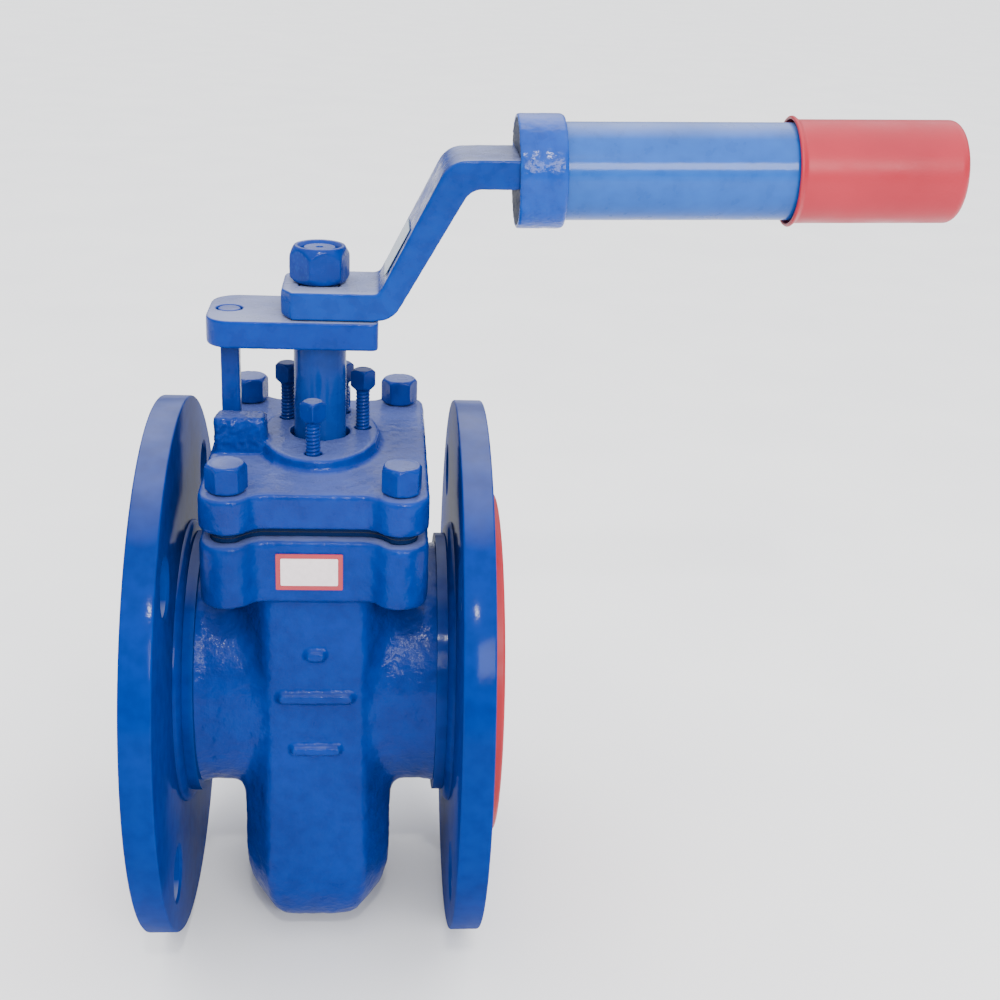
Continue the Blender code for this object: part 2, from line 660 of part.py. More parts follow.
def lever_outline():
    """Side outline of the cranked bar in X and Z, with rounded bends."""
    rise = math.tan(HANDLE_RISE)
    arm_end = CRANK_END_BOTTOM + 0.8 * MM + (ARM_END_X - CRANK_END_X) * rise
    lean = (CRANK_END_X - CRANK_START_X - 3.0 * MM) / (CRANK_END_BOTTOM - LEVER_BOTTOM)
    inner_low = CRANK_START_X + 3.0 * MM - CRANK_THICKNESS_X
    inner_high = inner_low + lean * (CRANK_END_BOTTOM + ARM_THICKNESS - LEVER_TOP)
    return [
        (LEVER_LEFT, LEVER_BOTTOM),
        (CRANK_START_X - 1.5 * MM, LEVER_BOTTOM),
        (CRANK_START_X + 1.6 * MM, LEVER_BOTTOM + 2.4 * MM),
        (CRANK_START_X + 4.2 * MM, LEVER_BOTTOM + 7.6 * MM),
        (CRANK_END_X - 0.4 * MM, CRANK_END_BOTTOM - 0.6 * MM),
        (CRANK_END_X + 1.2 * MM, CRANK_END_BOTTOM + 0.7 * MM),
        (ARM_END_X, arm_end),
        (ARM_END_X, arm_end + ARM_THICKNESS),
        (inner_high + 3.2 * MM, CRANK_END_BOTTOM + ARM_THICKNESS + 0.6 * MM),
        (inner_high + 0.9 * MM, CRANK_END_BOTTOM + ARM_THICKNESS - 0.3 * MM),
        (inner_high - 0.6 * MM, CRANK_END_BOTTOM + ARM_THICKNESS - 2.6 * MM),
        (inner_low + 0.6 * MM, LEVER_TOP + 1.4 * MM),
        (inner_low - 1.0 * MM, LEVER_TOP),
        (LEVER_LEFT, LEVER_TOP),
    ]


def cut_lever_end(lever, pivot):
    """Cut both corners off the end of the bar beyond the stem."""
    near, far = LEVER_LEFT - LEVER_END_CUT_X, LEVER_LEFT + 2.0 * LEVER_END_CUT_X
    inner, outer = LEVER_HALF_Y - 2.0 * LEVER_END_CUT_Y, LEVER_HALF_Y + LEVER_END_CUT_Y
    for side, name in ((-1.0, "front"), (1.0, "back")):
        outline = [(near, side * inner), (far, side * outer), (near, side * outer)]
        wedge = prism(outline, LEVER_BOTTOM - 1.0 * MM, LEVER_TOP + 1.0 * MM)
        combine(lever, make_object(f"{name}_corner_cut", wedge, pivot), "DIFFERENCE")


def build_lever_bar(pivot, paint):
    outline = lever_outline()
    rings = [[(x, y, z) for x, z in outline] for y in (-LEVER_HALF_Y, LEVER_HALF_Y)]
    lever = make_object("lever_bar", skin_rings(rings), pivot, paint)
    cut_lever_end(lever, pivot)
    soften(lever, 0.7 * MM, angle=55.0)
    below, above = LEVER_BOTTOM - 1.0 * MM, LEVER_TOP + 1.0 * MM
    combine(lever, square_hole("lever_square", pivot, below, above), "DIFFERENCE")


def handle_frame(pivot):
    """Empty on the handle's axis at the collar's end face, tilted by the handle's rise."""
    rise = math.tan(HANDLE_RISE)
    height = CRANK_END_BOTTOM + 0.8 * MM + ARM_THICKNESS / 2.0 - HANDLE_DROP
    height += (COLLAR_START_X - CRANK_END_X) * rise
    return make_empty("handle_axis", (COLLAR_START_X, 0.0, height), pivot, -HANDLE_RISE)


def build_handle_collar(axis, paint):
    bore = TUBE_RADIUS + GAP
    edge = 0.8 * MM
    lead = 1.0 * MM
    profile = [
        (COLLAR_RADIUS - edge, 0.0),
        (COLLAR_RADIUS, edge),
        (COLLAR_RADIUS, COLLAR_LENGTH - lead),
        (COLLAR_RADIUS - lead, COLLAR_LENGTH),
        (bore, COLLAR_LENGTH),
        (bore, COLLAR_FACE),
    ]
    collar = make_object("handle_collar", along_x(turned(profile, MEDIUM)), axis, paint)
    half_y, half_z = LEVER_HALF_Y + GAP, ARM_THICKNESS / 2.0 + GAP
    slot = box((-1.0 * MM, -half_y, HANDLE_DROP - half_z),
               (COLLAR_FACE + 1.0 * MM, half_y, HANDLE_DROP + half_z))
    combine(collar, make_object("arm_slot", slot, axis), "DIFFERENCE")


def build_handle_tube(axis, paint):
    start = COLLAR_FACE + 1.0 * MM
    end = start + TUBE_LENGTH
    inner = TUBE_RADIUS - TUBE_WALL
    profile = [(TUBE_RADIUS, start), (TUBE_RADIUS, end), (inner, end), (inner, start)]
    make_object("handle_tube", along_x(turned(profile, MEDIUM, closed=True)), axis, paint)


def build_handle_cap(axis, plastic):
    bore = TUBE_RADIUS + GAP
    end = CAP_START + CAP_LENGTH
    round_off = 3.0 * MM
    inner_end = COLLAR_FACE + 1.0 * MM + TUBE_LENGTH + 1.0 * MM
    profile = [(bore, inner_end), (bore, CAP_START),
               (CAP_LIP_RADIUS - 0.5 * MM, CAP_START), (CAP_LIP_RADIUS, CAP_START + 0.6 * MM),
               (CAP_LIP_RADIUS - 0.2 * MM, CAP_START + CAP_LIP_LENGTH - 1.4 * MM),
               (CAP_RADIUS, CAP_START + CAP_LIP_LENGTH)]
    for k in range(5):
        angle = math.pi / 2.0 * k / 4.0
        profile.append((CAP_RADIUS - round_off * (1.0 - math.cos(angle)),
                        end - round_off * (1.0 - math.sin(angle))))
    make_object("handle_cap", along_x(turned(profile, MEDIUM)), axis, plastic)


def build_lever_label(pivot, paper):
    """Thin blank strip floating just off the upper side of the crank."""
    outline = lever_outline()
    high, low = Vector(outline[10]), Vector(outline[11])
    along = (high - low).normalized()
    outward = Vector((-along.y, along.x))
    start = low + along * LABEL_START + outward * GAP
    corners = [start, start + along * LABEL_LENGTH,
               start + along * LABEL_LENGTH + outward * FOIL, start + outward * FOIL]
    half = LABEL_WIDTH / 2.0
    rings = [[(c.x, y, c.y) for c in corners] for y in (-half, half)]
    make_object("lever_label", skin_rings(rings), pivot, paper)


def build_sticker(parent, paper):
    half_x, half_z = STICKER_SIZE[0] / 2.0, STICKER_SIZE[1] / 2.0
    x, z = STICKER_CENTRE
    back = -PLATE_HALF_Y - GAP
    sheet = box((x - half_x, back - FOIL, z - half_z), (x + half_x, back, z + half_z))
    make_object("inspection_sticker", sheet, parent, paper)


def build_flange_covers(parent, plastic):
    """Plastic discs that close the flow mouths, each lying on its raised face."""
    face = FLANGE_OUTER_X + RAISED_FACE_HEIGHT + GAP
    edge = 0.8 * MM
    profile = [
        (COVER_RADIUS, 0.0),
        (COVER_RADIUS, COVER_THICKNESS - edge),
        (COVER_RADIUS - edge, COVER_THICKNESS),
    ]
    for name, side in (("left_flange_cover", -1.0), ("right_flange_cover", 1.0)):
        bm = along_x(turned(profile, FINE))
        bm.transform(Matrix.Scale(side, 4, Vector((1.0, 0.0, 0.0))))
        make_object(name, bm, parent, plastic, (side * face, 0.0, 0.0))


def build_operator(pivot):
    blue = make_material("operator_paint", BLUE, 0.3)
    build_plug(pivot, make_material("stem_paint", BLUE, 0.32, 0.1))
    build_stop_plate(pivot, blue)
    build_stop_pin(pivot, make_material("pin_paint", DARK_BLUE, 0.3))
    build_lever_bar(pivot, make_material("lever_paint", BLUE, 0.28))
    build_stem_nut(pivot, make_material("nut_paint", BLUE, 0.26))
    build_lever_label(pivot, make_material("label_foil", (0.62, 0.64, 0.66), 0.5))
    axis = handle_frame(pivot)
    build_handle_collar(axis, make_material("collar_paint", BLUE, 0.32))
    build_handle_tube(axis, make_material("tube_paint", BLUE, 0.24))
    build_handle_cap(axis, make_material("cap_plastic", RED, 0.4))


def main():
    clear_scene()
    centre = make_empty("flow_centre", (0.0, 0.0, FLOW_HEIGHT))
    pivot = make_empty("stem_axis", (0.0, 0.0, 0.0), centre)
    build_valve_body(centre, make_material("body_paint", BLUE, 0.3))
    build_sleeve(centre, make_material("seal_plastic", (0.82, 0.82, 0.78), 0.45))
    build_diaphragms(centre, make_material("gasket_paint", (0.006, 0.035, 0.14), 0.6))
    build_thrust_collar(centre, make_material("bare_steel", (0.55, 0.55, 0.56), 0.35, 1.0))
    build_bonnet(centre, make_material("bonnet_paint", BLUE, 0.3))
    build_bonnet_bolts(centre, make_material("bolt_paint", DARK_BLUE, 0.3))
    build_adjusting_bolts(centre, make_material("screw_paint", DARK_BLUE, 0.35))
    build_sticker(centre, make_material("sticker_paper", (0.8, 0.6, 0.62), 0.4))
    build_flange_covers(centre, make_material("cover_plastic", RED, 0.45))
    build_operator(pivot)


main()
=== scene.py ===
"""Looks for the flanged plug valve: fine meshes, enamel and plastic finishes, lights and camera."""

import math

import bmesh
import bpy
import numpy as np
from mathutils import Matrix, Vector, noise


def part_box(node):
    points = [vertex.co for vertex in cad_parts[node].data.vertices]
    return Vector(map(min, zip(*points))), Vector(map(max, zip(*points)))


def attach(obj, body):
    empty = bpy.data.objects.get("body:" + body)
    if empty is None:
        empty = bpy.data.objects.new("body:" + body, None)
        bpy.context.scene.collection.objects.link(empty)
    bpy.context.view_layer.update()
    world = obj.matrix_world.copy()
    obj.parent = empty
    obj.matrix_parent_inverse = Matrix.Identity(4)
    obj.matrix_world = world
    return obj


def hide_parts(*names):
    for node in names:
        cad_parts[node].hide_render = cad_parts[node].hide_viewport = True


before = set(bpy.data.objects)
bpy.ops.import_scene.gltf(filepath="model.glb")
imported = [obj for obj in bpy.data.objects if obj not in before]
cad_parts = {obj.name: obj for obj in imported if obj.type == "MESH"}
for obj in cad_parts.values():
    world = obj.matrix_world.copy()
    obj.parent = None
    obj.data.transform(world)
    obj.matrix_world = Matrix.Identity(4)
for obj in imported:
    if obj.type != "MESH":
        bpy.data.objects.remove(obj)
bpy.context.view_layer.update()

MM = 0.001
GAP = 0.3 * MM

# Places read from the frame.
BODY_LOW, BODY_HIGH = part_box("valve_body")
FLANGE_RADIUS = (BODY_HIGH.y - BODY_LOW.y) / 2.0
FLOW = BODY_LOW.z + FLANGE_RADIUS
RAISED_X = BODY_HIGH.x
BONNET_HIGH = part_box("bonnet")[1]
PLATE_LOW, PLATE_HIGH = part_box("stop_plate")
LEVER_LOW, LEVER_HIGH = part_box("lever_bar")
NUT_LOW, NUT_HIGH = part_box("stem_nut")
PLUG_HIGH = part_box("plug")[1]
PIN_LOW, PIN_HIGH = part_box("stop_pin")

# Design sizes, heights measured from the flow line.
RAISED_RADIUS = 63.5 * MM
RAISED_HEIGHT = 1.6 * MM
FLANGE_X = RAISED_X - RAISED_HEIGHT
FLANGE_THICKNESS = 10.2 * MM
BOLT_CIRCLE = 76.2 * MM
FLANGE_HOLE = 9.5 * MM
HUB_RADIUS = 50.5 * MM
HUB_HEIGHT = 2.5 * MM
NECK_RADIUS = 42.5 * MM
MOUTH_RADIUS = 38.0 * MM
PORT_WIDTH = 10.0 * MM
PORT_HEIGHT = 31.0 * MM
BARREL_X = 25.5 * MM
BARREL_Y = 44.0 * MM
PANEL_X = 16.5 * MM
FLANK_Y = 29.0 * MM
ROUND_START = -61.0 * MM
ROUND_INSET = 14.0 * MM
TOP_LOW = 46.0 * MM
TOP_HIGH = 68.0 * MM
PLATE_Y = 48.3 * MM
CORNER_X = 27.4 * MM
CORNER_Y = 45.4 * MM
CORNER_RADIUS = 9.0 * MM
WAVE_RADIUS = 6.0 * MM
COVER_BOTTOM = 71.5 * MM
COVER_TOP = 83.8 * MM
BOSS_TOP = 88.3 * MM
BOSS_X = 20.0 * MM
BOSS_Y = 30.0 * MM
PLUG_TOP = 60.0 * MM
PLUG_BOTTOM = -62.0 * MM
PLUG_RADIUS = 19.8 * MM
PLUG_TAPER = math.radians(2.0)
STEM_RADIUS = 8.75 * MM
STEM_SQUARE = 12.3 * MM
THREAD_RADIUS = 5.8 * MM
PIN_OFFSET = 29.6 * MM
PIN_WIDTH = 6.2 * MM
BOLT_HOLE = 3.7 * MM
BOLT_SHANK = 3.4 * MM
BOLT_HEAD_CORNER = 6.8 * MM
BOLT_HEAD_HEIGHT = 9.2 * MM
TAPPED_END = 54.8 * MM
ADJUSTER_OVAL = (14.6 * MM, 23.0 * MM)
ADJUSTER_ANGLES = (-95.5, 10.0, 62.0, 143.5)
ADJUSTER_HOLE = 2.75 * MM
ADJUSTER_HEAD = 7.0 * MM
STEM_HOLE = 9.95 * MM
POCKET_TOP = 77.8 * MM
SLEEVE_WALL = 2.1 * MM
BLOCK_LEFT = -34.6 * MM
BLOCK_RIGHT = -17.4 * MM
BLOCK_FRONT = -13.6 * MM
LUG_TOP = 94.4 * MM
LUG_WIDTH = 6.2 * MM
NUT_CORNER = 10.2 * MM
MARK_HEIGHT = 3.4 * MM
CASTING_VOXEL = 0.85 * MM
BONNET_VOXEL = 0.6 * MM
PAINT_SKIN = 0.32 * MM
LEVER_TOP = 140.1 * MM
LEVER_BEND_LOW = 23.7 * MM
LEVER_BEND_HIGH = 19.4 * MM
LEVER_END = 68.0 * MM
ARM_BOTTOM = 174.1 * MM
ARM_BEND_HIGH = 41.0 * MM
ARM_THICKNESS = 9.4 * MM
HANDLE_DROP = 2.15 * MM
HANDLE_RISE = math.radians(1.65)
CRANK_END = 47.8 * MM
COLLAR_START = 62.8 * MM
COLLAR_LENGTH = 15.6 * MM
COLLAR_RADIUS = 18.2 * MM
TUBE_RADIUS = 15.6 * MM
CAP_START = 89.1 * MM
CAP_LENGTH = 56.3 * MM
CAP_RADIUS = 16.6 * MM
CAP_LIP_RADIUS = 17.8 * MM


# Outlines: lists of 2-D points, anticlockwise.

def oval(half_x, half_y, count):
    steps = [2.0 * math.pi * (i + 0.5) / count for i in range(count)]
    return [(half_x * math.cos(a), half_y * math.sin(a)) for a in steps]


def arc(centre_x, centre_y, radius, start, end, steps):
    angles = [start + (end - start) * k / steps for k in range(steps + 1)]
    return [(centre_x + radius * math.cos(a), centre_y + radius * math.sin(a)) for a in angles]


def rounded(corners, radius, steps=6):
    """Round every corner with an arc; radius is one number or one for each corner."""
    radii = radius if isinstance(radius, (list, tuple)) else [radius] * len(corners)
    points = []
    for i, corner in enumerate(corners):
        here = Vector(corner)
        back = (Vector(corners[i - 1]) - here).normalized()
        ahead = (Vector(corners[(i + 1) % len(corners)]) - here).normalized()
        half = back.angle(ahead) / 2.0
        centre = here + (back + ahead).normalized() * radii[i] / math.sin(half)
        start = here + back * radii[i] / math.tan(half) - centre
        sweep = math.pi - 2.0 * half
        if back.x * ahead.y - back.y * ahead.x > 0.0:
            sweep = -sweep
        for k in range(steps + 1):
            points.append(tuple(centre + Matrix.Rotation(sweep * k / steps, 2) @ start))
    return points


def lobed_outline():
    """The four-cornered plate: bolt lobes joined by hollows along the front and back."""
    wave_y = PLATE_Y + WAVE_RADIUS
    wave_x = CORNER_X - math.sqrt((CORNER_RADIUS + WAVE_RADIUS) ** 2 - (wave_y - CORNER_Y) ** 2)
    meet = math.atan2(wave_y - CORNER_Y, wave_x - CORNER_X)
    first = arc(CORNER_X, CORNER_Y, CORNER_RADIUS, 0.0, meet, 16)
    first += arc(wave_x, wave_y, WAVE_RADIUS, meet - math.pi, -math.pi / 2.0, 10)[1:]
    upper = first + [(-x, y) for x, y in reversed(first)]
    return upper + [(-x, -y) for x, y in upper]


def barrel_outline(inset):
    side, front = BARREL_X - inset, BARREL_Y - inset
    panel, flank = PANEL_X - 0.55 * inset, FLANK_Y - 0.7 * inset
    return rounded([(side, -flank), (side, flank), (panel, front), (-panel, front),
                    (-side, flank), (-side, -flank), (-panel, -front), (panel, -front)],
                   4.0 * MM, 4)


def polygon_radius(sides, corner, turn, angle):
    step = 2.0 * math.pi / sides
    offset = (angle - turn) % step - step / 2.0
    return corner * math.cos(step / 2.0) / math.cos(offset)


def head_ring(sides, corner, turn, limit, count):
    """Ring on a polygon head, cut back to a limiting circle."""
    ring = []
    for i in range(count):
        angle = turn + 2.0 * math.pi * i / count
        radius = min(polygon_radius(sides, corner, turn, angle), limit)
        ring.append((radius * math.cos(angle), radius * math.sin(angle)))
    return ring


def circle(radius, count, turn=0.0):
    angles = [turn + 2.0 * math.pi * i / count for i in range(count)]
    return [(radius * math.cos(a), radius * math.sin(a)) for a in angles]


# Solids.

def skin(rings, closed=False):
    bm = bmesh.new()
    rows = [[bm.verts.new(point) for point in ring] for ring in rings]
    count = len(rings[0])
    pairs = list(zip(rows, rows[1:]))
    if closed:
        pairs.append((rows[-1], rows[0]))
    for low, high in pairs:
        for i in range(count):
            j = (i + 1) % count
            bm.faces.new((low[i], low[j], high[j], high[i]))
    if not closed:
        bm.faces.new(rows[0])
        bm.faces.new(rows[-1])
    return bm


def stacked(sections, closed=False):
    return skin([[(x, y, z) for x, y in outline] for z, outline in sections], closed)


def turned(profile, count, closed=False):
    return stacked([(height, oval(radius, radius, count)) for radius, height in profile], closed)


def along_x(bm):
    bm.transform(Matrix.Rotation(math.pi / 2.0, 4, "Y"))
    return bm


def prism(outline, low, high):
    return stacked([(low, outline), (high, outline)])


def box(low, high):
    outline = [(low[0], low[1]), (high[0], low[1]), (high[0], high[1]), (low[0], high[1])]
    return prism(outline, low[2], high[2])


def make(name, bm, location=(0.0, 0.0, FLOW)):
    """A mesh object whose points already stand in world coordinates."""
    bm.transform(Matrix.Translation(location))
    bmesh.ops.recalc_face_normals(bm, faces=bm.faces)
    mesh = bpy.data.meshes.new(name)
    bm.to_mesh(mesh)
    bm.free()
    obj = bpy.data.objects.new(name, mesh)
    bpy.context.scene.collection.objects.link(obj)
    return obj


def smooth_shade(obj, degrees=35.0):
    obj.data.shade_smooth()
    obj.data.set_sharp_from_angle(angle=math.radians(degrees))
    return obj


def settle(obj):
    """Apply every modifier to the mesh."""
    graph = bpy.context.evaluated_depsgraph_get()
    mesh = bpy.data.meshes.new_from_object(obj.evaluated_get(graph))
    obj.modifiers.clear()
    old = obj.data
    obj.data = mesh
    bpy.data.meshes.remove(old)
    return obj


def combine(target, helpers, operation):
    for helper in helpers:
        modifier = target.modifiers.new("combine", "BOOLEAN")
        modifier.operation = operation
        modifier.solver = "EXACT"
        modifier.object = helper
    settle(target)
    for helper in helpers:
        bpy.data.objects.remove(helper, do_unlink=True)
    return target


def bevel(obj, width, segments=3, degrees=40.0):
    modifier = obj.modifiers.new("bevel", "BEVEL")
    modifier.width = width
    modifier.segments = segments
    modifier.limit_method = "ANGLE"
    modifier.angle_limit = math.radians(degrees)
    return settle(obj)


def remesh(obj, voxel):
    modifier = obj.modifiers.new("remesh", "REMESH")
    modifier.mode = "VOXEL"
    modifier.voxel_size = voxel
    return settle(obj)


def relax(obj, rounds, weight, convex=1.0):
    """Laplacian smoothing; convex edges take part only by the share given."""
    mesh = obj.data
    count = len(mesh.vertices)
    points = np.zeros(count * 3)
    mesh.vertices.foreach_get("co", points)
    points = points.reshape(-1, 3)
    normals = np.zeros(count * 3)
    mesh.vertex_normals.foreach_get("vector", normals)
    normals = normals.reshape(-1, 3)
    edges = np.zeros(len(mesh.edges) * 2, dtype=np.int64)
    mesh.edges.foreach_get("vertices", edges)
    one, two = edges.reshape(-1, 2).T
    degree = np.bincount(one, minlength=count) + np.bincount(two, minlength=count)
    share = weight(points)[:, None]
    for _ in range(rounds):
        total = np.zeros_like(points)
        for axis in range(3):
            total[:, axis] = np.bincount(one, points[two, axis], count)
            total[:, axis] += np.bincount(two, points[one, axis], count)
        pull = total / degree[:, None] - points
        inward = (pull * normals).sum(axis=1) < 0.0
        pull[inward] *= convex
        points += 0.6 * share * pull
    mesh.vertices.foreach_set("co", points.ravel())
    mesh.update()


def thick_paint(obj, voxel, rounds=5, lumps=0.05 * MM):
    """Remesh finely and soften every edge, as several coats of enamel do."""
    remesh(obj, voxel)
    relax(obj, rounds, lambda points: np.full(len(points), 0.7))
    roughen(obj, lumps, 2.6 * MM, lambda point: 1.0)
    obj.data.shade_smooth()
    return obj


def roughen(obj, height, size, chosen):
    """Push points along their normals by noise, as far as chosen(point) allows."""
    mesh = obj.data
    count = len(mesh.vertices)
    points = np.zeros(count * 3)
    mesh.vertices.foreach_get("co", points)
    points = points.reshape(-1, 3)
    normals = np.zeros(count * 3)
    mesh.vertex_normals.foreach_get("vector", normals)
    normals = normals.reshape(-1, 3)
    swell = np.zeros(count)
    for i, point in enumerate(points):
        place = Vector(point)
        share = chosen(place)
        if share:
            swell[i] = share * (noise.noise(place / size) + 0.5 * noise.noise(place / (0.4 * size)))
    points += height * swell[:, None] * normals
    mesh.vertices.foreach_set("co", points.ravel())
    mesh.update()


# Materials.

def add(tree, kind, settings=None, **inputs):
    node = tree.nodes.new(kind)
    for key, value in (settings or {}).items():
        setattr(node, key, value)
    for key, value in inputs.items():
        socket = node.inputs[key.replace("_", " ")]
        if isinstance(value, bpy.types.NodeSocket):
            tree.links.new(value, socket)
        else:
            socket.default_value = value
    return node


def ramp(tree, factor, stops):
    node = add(tree, "ShaderNodeValToRGB", Fac=factor)
    elements = node.color_ramp.elements
    while len(elements) < len(stops):
        elements.new(0.5)
    for element, (place, colour) in zip(elements, stops):
        element.position = place
        element.color = (*colour, 1.0)
    return node.outputs["Color"]


def new_material(name):
    material = bpy.data.materials.new(name)
    material.use_nodes = True
    tree = material.node_tree
    place = add(tree, "ShaderNodeTexCoord").outputs["Object"]
    return material, tree, tree.nodes["Principled BSDF"], place


def grain(tree, place, size, detail=3.0):
    """Noise whose features are about size metres wide."""
    return add(tree, "ShaderNodeTexNoise", Vector=place, Scale=0.6 / size, Detail=detail).outputs["Fac"]


def shaded(colour, factor):
    return tuple(c * factor for c in colour)


def set_bump(tree, shader, layers, coat=True):
    """Stack bump layers of (height socket, strength, distance) into the shader's normal."""
    normal = None
    for height, strength, distance in layers:
        node = add(tree, "ShaderNodeBump", Height=height, Strength=strength, Distance=distance)
        if normal:
            tree.links.new(normal, node.inputs["Normal"])
        normal = node.outputs["Normal"]
    tree.links.new(normal, shader.inputs["Normal"])
    if coat:
        tree.links.new(normal, shader.inputs["Coat Normal"])


# Pale grey mixed into up-facing enamel: partly dust, partly a painted sheen for the reflection of the light
# from above.
DUST_AND_SHEEN_COLOUR = (0.42, 0.44, 0.5, 1.0)
PEEL_SIZE = 4.5 * MM
CAST_SIZE = 0.9 * MM


def enamel(name, colour, cast=0.3, peel=0.25, rough=0.3, edge_wear_and_highlight=0.3, coat=0.13, dust_and_sheen=0.4, shine=0.06):
    """Thick gloss enamel: cast grain or orange peel under it, sharp edges painted lighter as wear and painted
    highlight, up-facing surfaces painted pale as dust and painted sheen.
    """
    material, tree, shader, place = new_material(name)
    blotch = grain(tree, place, 22.0 * MM, 4.0)
    fine = grain(tree, place, 3.0 * MM, 5.0)
    base = ramp(tree, blotch, [
        (0.3, shaded(colour, 0.8)),
        (0.52, colour),
        (0.72, shaded(colour, 1.12)),
    ])
    speck = ramp(tree, fine, [
        (0.34, (0.8, 0.82, 0.86)),
        (0.55, (1.0, 1.0, 1.0)),
        (0.78, (1.3, 1.16, 1.06)),
    ])
    mixed = add(tree, "ShaderNodeMix", {"data_type": "RGBA", "blend_type": "MULTIPLY"})
    mixed.inputs["Factor"].default_value = 1.0
    tree.links.new(base, mixed.inputs[6])
    tree.links.new(speck, mixed.inputs[7])
    geometry = add(tree, "ShaderNodeNewGeometry")
    # Sharp edges are mixed towards a lighter blue: partly paint worn thin, partly a painted highlight for the
    # glints along the edges.
    sharpness = geometry.outputs["Pointiness"]
    edge = add(tree, "ShaderNodeMapRange", Value=sharpness, From_Min=0.52, From_Max=0.6,
               To_Min=0.0, To_Max=edge_wear_and_highlight).outputs["Result"]
    wear_and_highlight_mix = add(tree, "ShaderNodeMix", {"data_type": "RGBA"})
    tree.links.new(edge, wear_and_highlight_mix.inputs["Factor"])
    tree.links.new(mixed.outputs[2], wear_and_highlight_mix.inputs[6])
    red, green, blue = colour
    wear_and_highlight_mix.inputs[7].default_value = (red * 2.0 + 0.01, green * 1.9 + 0.02, blue * 1.1 + 0.04, 1.0)
    # Up-facing surfaces are painted pale in patches: partly dust, partly a painted sheen for the reflection
    # of the overhead light.
    upward = add(tree, "ShaderNodeSeparateXYZ", Vector=geometry.outputs["Normal"]).outputs["Z"]
    level = add(tree, "ShaderNodeMapRange", Value=upward, From_Min=0.75, From_Max=1.0,
                To_Min=0.0, To_Max=dust_and_sheen).outputs["Result"]
    patchy = add(tree, "ShaderNodeMath", {"operation": "MULTIPLY"})
    tree.links.new(level, patchy.inputs[0])
    tree.links.new(blotch, patchy.inputs[1])
    dust_and_sheen_mix = add(tree, "ShaderNodeMix", {"data_type": "RGBA"})
    tree.links.new(patchy.outputs["Value"], dust_and_sheen_mix.inputs["Factor"])
    tree.links.new(wear_and_highlight_mix.outputs[2], dust_and_sheen_mix.inputs[6])
    dust_and_sheen_mix.inputs[7].default_value = DUST_AND_SHEEN_COLOUR
    tree.links.new(dust_and_sheen_mix.outputs[2], shader.inputs["Base Color"])
    dull = add(tree, "ShaderNodeMapRange", Value=fine, From_Min=0.3, From_Max=0.7,
               To_Min=rough - 0.07, To_Max=rough + 0.12).outputs["Result"]
    tree.links.new(dull, shader.inputs["Roughness"])
    shader.inputs["Specular IOR Level"].default_value = shine
    shader.inputs["Coat Weight"].default_value = coat
    shader.inputs["Coat Roughness"].default_value = 0.12
    shader.inputs["Coat IOR"].default_value = 1.45
    set_bump(tree, shader, [
        (grain(tree, place, PEEL_SIZE, 2.0), peel, 0.5 * MM),
        (grain(tree, place, CAST_SIZE, 3.0), cast, 0.3 * MM),
    ])
    return material


def plastic(name, colour, rough, bump):
    material, tree, shader, place = new_material(name)
    blotch = grain(tree, place, 18.0 * MM, 3.0)
    base = ramp(tree, blotch, [(0.3, shaded(colour, 0.88)), (0.7, shaded(colour, 1.08))])
    tree.links.new(base, shader.inputs["Base Color"])
    scuff = grain(tree, place, 6.0 * MM, 5.0)
    dull = add(tree, "ShaderNodeMapRange", Value=scuff, From_Min=0.3, From_Max=0.7,
               To_Min=rough - 0.06, To_Max=rough + 0.1).outputs["Result"]
    tree.links.new(dull, shader.inputs["Roughness"])
    shader.inputs["Specular IOR Level"].default_value = 0.25
    shader.inputs["Subsurface Weight"].default_value = 0.06
    shader.inputs["Subsurface Radius"].default_value = (0.004, 0.001, 0.001)
    set_bump(tree, shader, [(grain(tree, place, 0.7 * MM, 2.0), bump, 0.12 * MM)])
    return material


def metal(name, colour, rough):
    """Machined steel with tool marks that run round the vertical axis."""
    material, tree, shader, place = new_material(name)
    marks = add(tree, "ShaderNodeMapping", Vector=place)
    marks.inputs["Scale"].default_value = (1.0, 1.0, 40.0)
    lines = grain(tree, marks.outputs["Vector"], 9.0 * MM, 4.0)
    base = ramp(tree, lines, [(0.3, shaded(colour, 0.8)), (0.7, shaded(colour, 1.08))])
    tree.links.new(base, shader.inputs["Base Color"])
    shader.inputs["Metallic"].default_value = 1.0
    dull = add(tree, "ShaderNodeMapRange", Value=lines, From_Min=0.3, From_Max=0.7,
               To_Min=rough - 0.08, To_Max=rough + 0.1).outputs["Result"]
    tree.links.new(dull, shader.inputs["Roughness"])
    set_bump(tree, shader, [(lines, 0.2, 0.1 * MM)], coat=False)
    return material


def paper(name, colour, rough):
    material, tree, shader, place = new_material(name)
    fibre = grain(tree, place, 1.0 * MM, 4.0)
    base = ramp(tree, fibre, [(0.3, shaded(colour, 0.93)), (0.7, shaded(colour, 1.03))])
    tree.links.new(base, shader.inputs["Base Color"])
    shader.inputs["Roughness"].default_value = rough
    shader.inputs["Coat Weight"].default_value = 0.25
    shader.inputs["Coat Roughness"].default_value = 0.2
    set_bump(tree, shader, [(fibre, 0.15, 0.05 * MM)])
    return material


